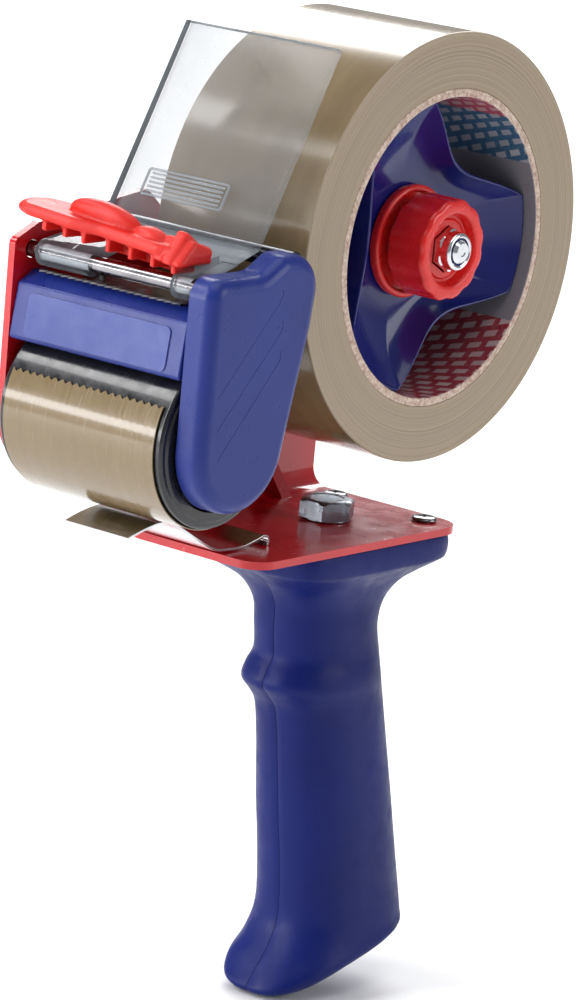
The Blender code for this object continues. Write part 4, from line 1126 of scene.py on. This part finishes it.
def make_lip():
    """The red thumb lip: a long ledge with mounds on top, ribs below and a wall down to the rod."""
    ledge = rounded(in_mm((
        (-103.6, 29, 4), (-103.4, 12, 3), (-101.4, 4, 8), (-102, -14, 3), (-99.5, -22.5, 3),
        (-89.2, -22.5, 3), (-89.2, -15, 2), (-91, -11, 2), (-90.2, 0, 4), (-91, 13, 3), (-89.5, 20, 3),
        (-92, 30.6, 4))), 6)
    parts = [prism(ledge, 146 * MM, 149.2 * MM, "z", edge=1.3 * MM)]
    parts.append(blob((-98.2, 26.2, 147.6), (5, 5.6, 2), -6))
    parts.append(blob((-96.4, 6.4, 149.4), (3.2, 11.4, 5.2), -34))
    parts.append(blob((-97.6, -9, 149), (2.6, 5, 2.6), -30))
    for low_y, high_y, peak, reach in ((-22.4, -19.4, 151.2, -103.2), (-20.2, -16.2, 153, -103.4),
                                       (-17, -13, 151, -102.6)):
        end = rounded(in_mm(((reach, 145.2, 0.6), (-90, 145.2, 0.6), (-91.5, 149.2, 0.8),
                             (-97.2, peak, 0.8))), 4)
        parts.append(prism(end, low_y * MM, high_y * MM, edge=1.2 * MM))
    blocks = [((-96.6, 8.4, 143.4), (-93.6, 22.4, 147)), ((-95, -18.4, 142), (-91.8, 7.4, 147))]
    blocks += [((-101.8, y - 0.7, 143.4), (-94, y + 0.7, 147)) for y in (21.4, 14.8, 8.8)]
    blocks += [((-100.4, y - 0.7, 142.8), (-93, y + 0.7, 147)) for y in (2.2, -5, -12, -18.6)]
    for corners in blocks:
        low, high = (Vector(corner) * MM for corner in corners)
        parts.append(cube(Matrix.Translation((low + high) / 2) @ Matrix.Diagonal((*(high - low), 1))))
    raw = as_object("lip_raw", merged(*parts))
    remesh = raw.modifiers.new("remesh", "REMESH")
    remesh.mode = "VOXEL"
    remesh.voxel_size = 0.32 * MM
    soften = raw.modifiers.new("soften", "SMOOTH")
    soften.factor = 0.5
    soften.iterations = 4
    bm = applied(raw)
    for vert in bm.verts:
        vert.co.z += LIP_SLOPE * (vert.co.y - LIP_FAR)
    piece("thumb_lip", bm, RED_LIP, "safety_lip", sharp=60)


def sheet_section(path, thickness):
    """A closed outline around an open path, offset to its left by the thickness."""
    count = len(path)
    left = []
    for index in range(count):
        along = (path[min(index + 1, count - 1)] - path[max(index - 1, 0)]).normalized()
        left.append(path[index] + Vector((-along.y, along.x)) * thickness)
    return path + list(reversed(left))


def make_clamp():
    low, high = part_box("tape_clamp")
    points = [Vector((x * MM, z * MM)) for x, z in (
        (-99, 74.9), (-92.5, 76.6), (-86, 77.3), (-80, 75.2), (-73, 71.4), (-66.5, 68.2),
        (-61, 67.5), (-55, 67.5), (-50, 68.5), (-47.2, 69.2), (-45.9, 68.4), (-46.3, 66.2), (-46.6, 62.6))]
    section = sheet_section(smooth_path(points, 8), 0.6 * MM)
    bm = prism(section, low.y, high.y, edge=0.12 * MM, rounds=2)
    piece("clamp_strip", bm, STRIP, "tape_clamp", sharp=30)


WEB_TEETH = 21
WEB_TOOTH = 0.9 * MM


def make_web():
    """The tape from the roll, round the roller, to its cut end with the marks of the blade's teeth."""
    inner = SLEEVE_RADIUS + 0.3 * MM
    thickness = 0.3 * MM
    leave_radius = ROLL_RADIUS + 0.7 * MM
    roller = ROLLER_AXIS.xz
    columns = WEB_TEETH * 6
    start = smooth_path(arc(ROLL_AXIS.xz, leave_radius, 192, 197, 2)
                        + [Vector((-58.4, 118)) * MM, Vector((-60.7, 109)) * MM]
                        + arc(roller, inner, -8, -8, 1)[:1], 8)
    rings = []
    for column in range(columns + 1):
        share = column / columns
        y = -TAPE_HALF + 2 * TAPE_HALF * share
        wave = abs((share * WEB_TEETH) % 1 - 0.5) * 2
        end = -206 - math.degrees(WEB_TOOTH * wave / inner)
        path = start + arc(roller, inner, -8, end, 90)[1:]
        rings.append([Vector((p.x, y, p.y)) for p in sheet_section(path, thickness)])
    piece("tape_strip", skin(rings), FILM, "tape_web", sharp=50)


# Studio and camera
CAMERA_FROM_ROLL = Vector((-0.8875, -0.6875, 0.1846))
VIEW_DIRECTION = Vector((0.76323, 0.60671, -0.22223))
VIEW_ROLL = math.radians(5.39)
LENS_MM = 161.66


def make_camera():
    data = bpy.data.cameras.new("camera")
    data.sensor_fit = "AUTO"
    data.sensor_width = 36
    data.lens = LENS_MM
    data.clip_start = 0.05
    data.clip_end = 20
    camera = bpy.data.objects.new("camera", data)
    camera.rotation_mode = "QUATERNION"
    camera.location = ROLL_AXIS + CAMERA_FROM_ROLL
    facing = VIEW_DIRECTION.to_track_quat("-Z", "Y")
    camera.rotation_quaternion = facing @ Quaternion((0, 0, 1), VIEW_ROLL)
    bpy.context.scene.collection.objects.link(camera)
    bpy.context.scene.camera = camera


def make_floor():
    """A plain pale floor under the handle."""
    bm = bmesh.new()
    bmesh.ops.create_grid(bm, x_segments=2, y_segments=2, size=6.0)
    floor = as_object("studio_floor", bm)
    floor.location.z = FLOOR - 0.2 * MM
    pale = Surface("pale_floor", 0.6, specular=0.2)
    pale.color(pale.mix(pale.ranged(pale.noise(3, 2), 0, 1), (0.86, 0.86, 0.86, 1), (0.88, 0.88, 0.88, 1)))
    floor.data.materials.append(pale.material)


def softbox(name, place, size, power, shape=(1, 1), target=ROLLER_AXIS):
    light = bpy.data.lights.new(name, "AREA")
    light.shape = "RECTANGLE"
    light.size = size * shape[0]
    light.size_y = size * shape[1]
    light.energy = power
    lamp = bpy.data.objects.new(name, light)
    lamp.location = place
    lamp.rotation_mode = "QUATERNION"
    lamp.rotation_quaternion = (Vector(target) - Vector(place)).to_track_quat("-Z", "Y")
    bpy.context.scene.collection.objects.link(lamp)


def make_lights():
    """Soft boxes in front, on the left and overhead, in a dim pale room."""
    world = bpy.data.worlds.new("studio")
    bpy.context.scene.world = world
    world.use_nodes = True
    background = world.node_tree.nodes["Background"]
    background.inputs["Color"].default_value = (0.93, 0.95, 1.0, 1)
    background.inputs["Strength"].default_value = 0.3
    softbox("strip_left", (-1.2, 0.6, 0.5), 0.6, 9, (0.5, 1.6))
    softbox("band_left", (-1.0, 0.74, 0.2), 1.0, 5, (1.3, 0.16))
    softbox("band_top", (-0.68, 0.92, 1.08), 1.0, 9, (1.5, 0.22))
    softbox("fill_right", (0.8, -1.5, 0.65), 1.0, 10)
    softbox("overhead", (-0.3, -0.2, 1.9), 1.6, 14)
    softbox("far_floor", (3.4, 2.6, 2.8), 3.0, 260, target=(2.8, 2.2, 0))
    scene = bpy.context.scene
    scene.view_settings.view_transform = "Standard"
    scene.view_settings.exposure = 0.0


make_frame()
make_handle()
make_handle_bolt()
make_screws()
make_hub()
make_tape()
make_knob()
make_flange()
make_spring()
make_lock_nut()
make_axle()
make_roller()
make_bars()
make_cover()
make_guard()
make_flap()
make_lip()
make_clamp()
make_web()
make_camera()
make_floor()
make_lights()
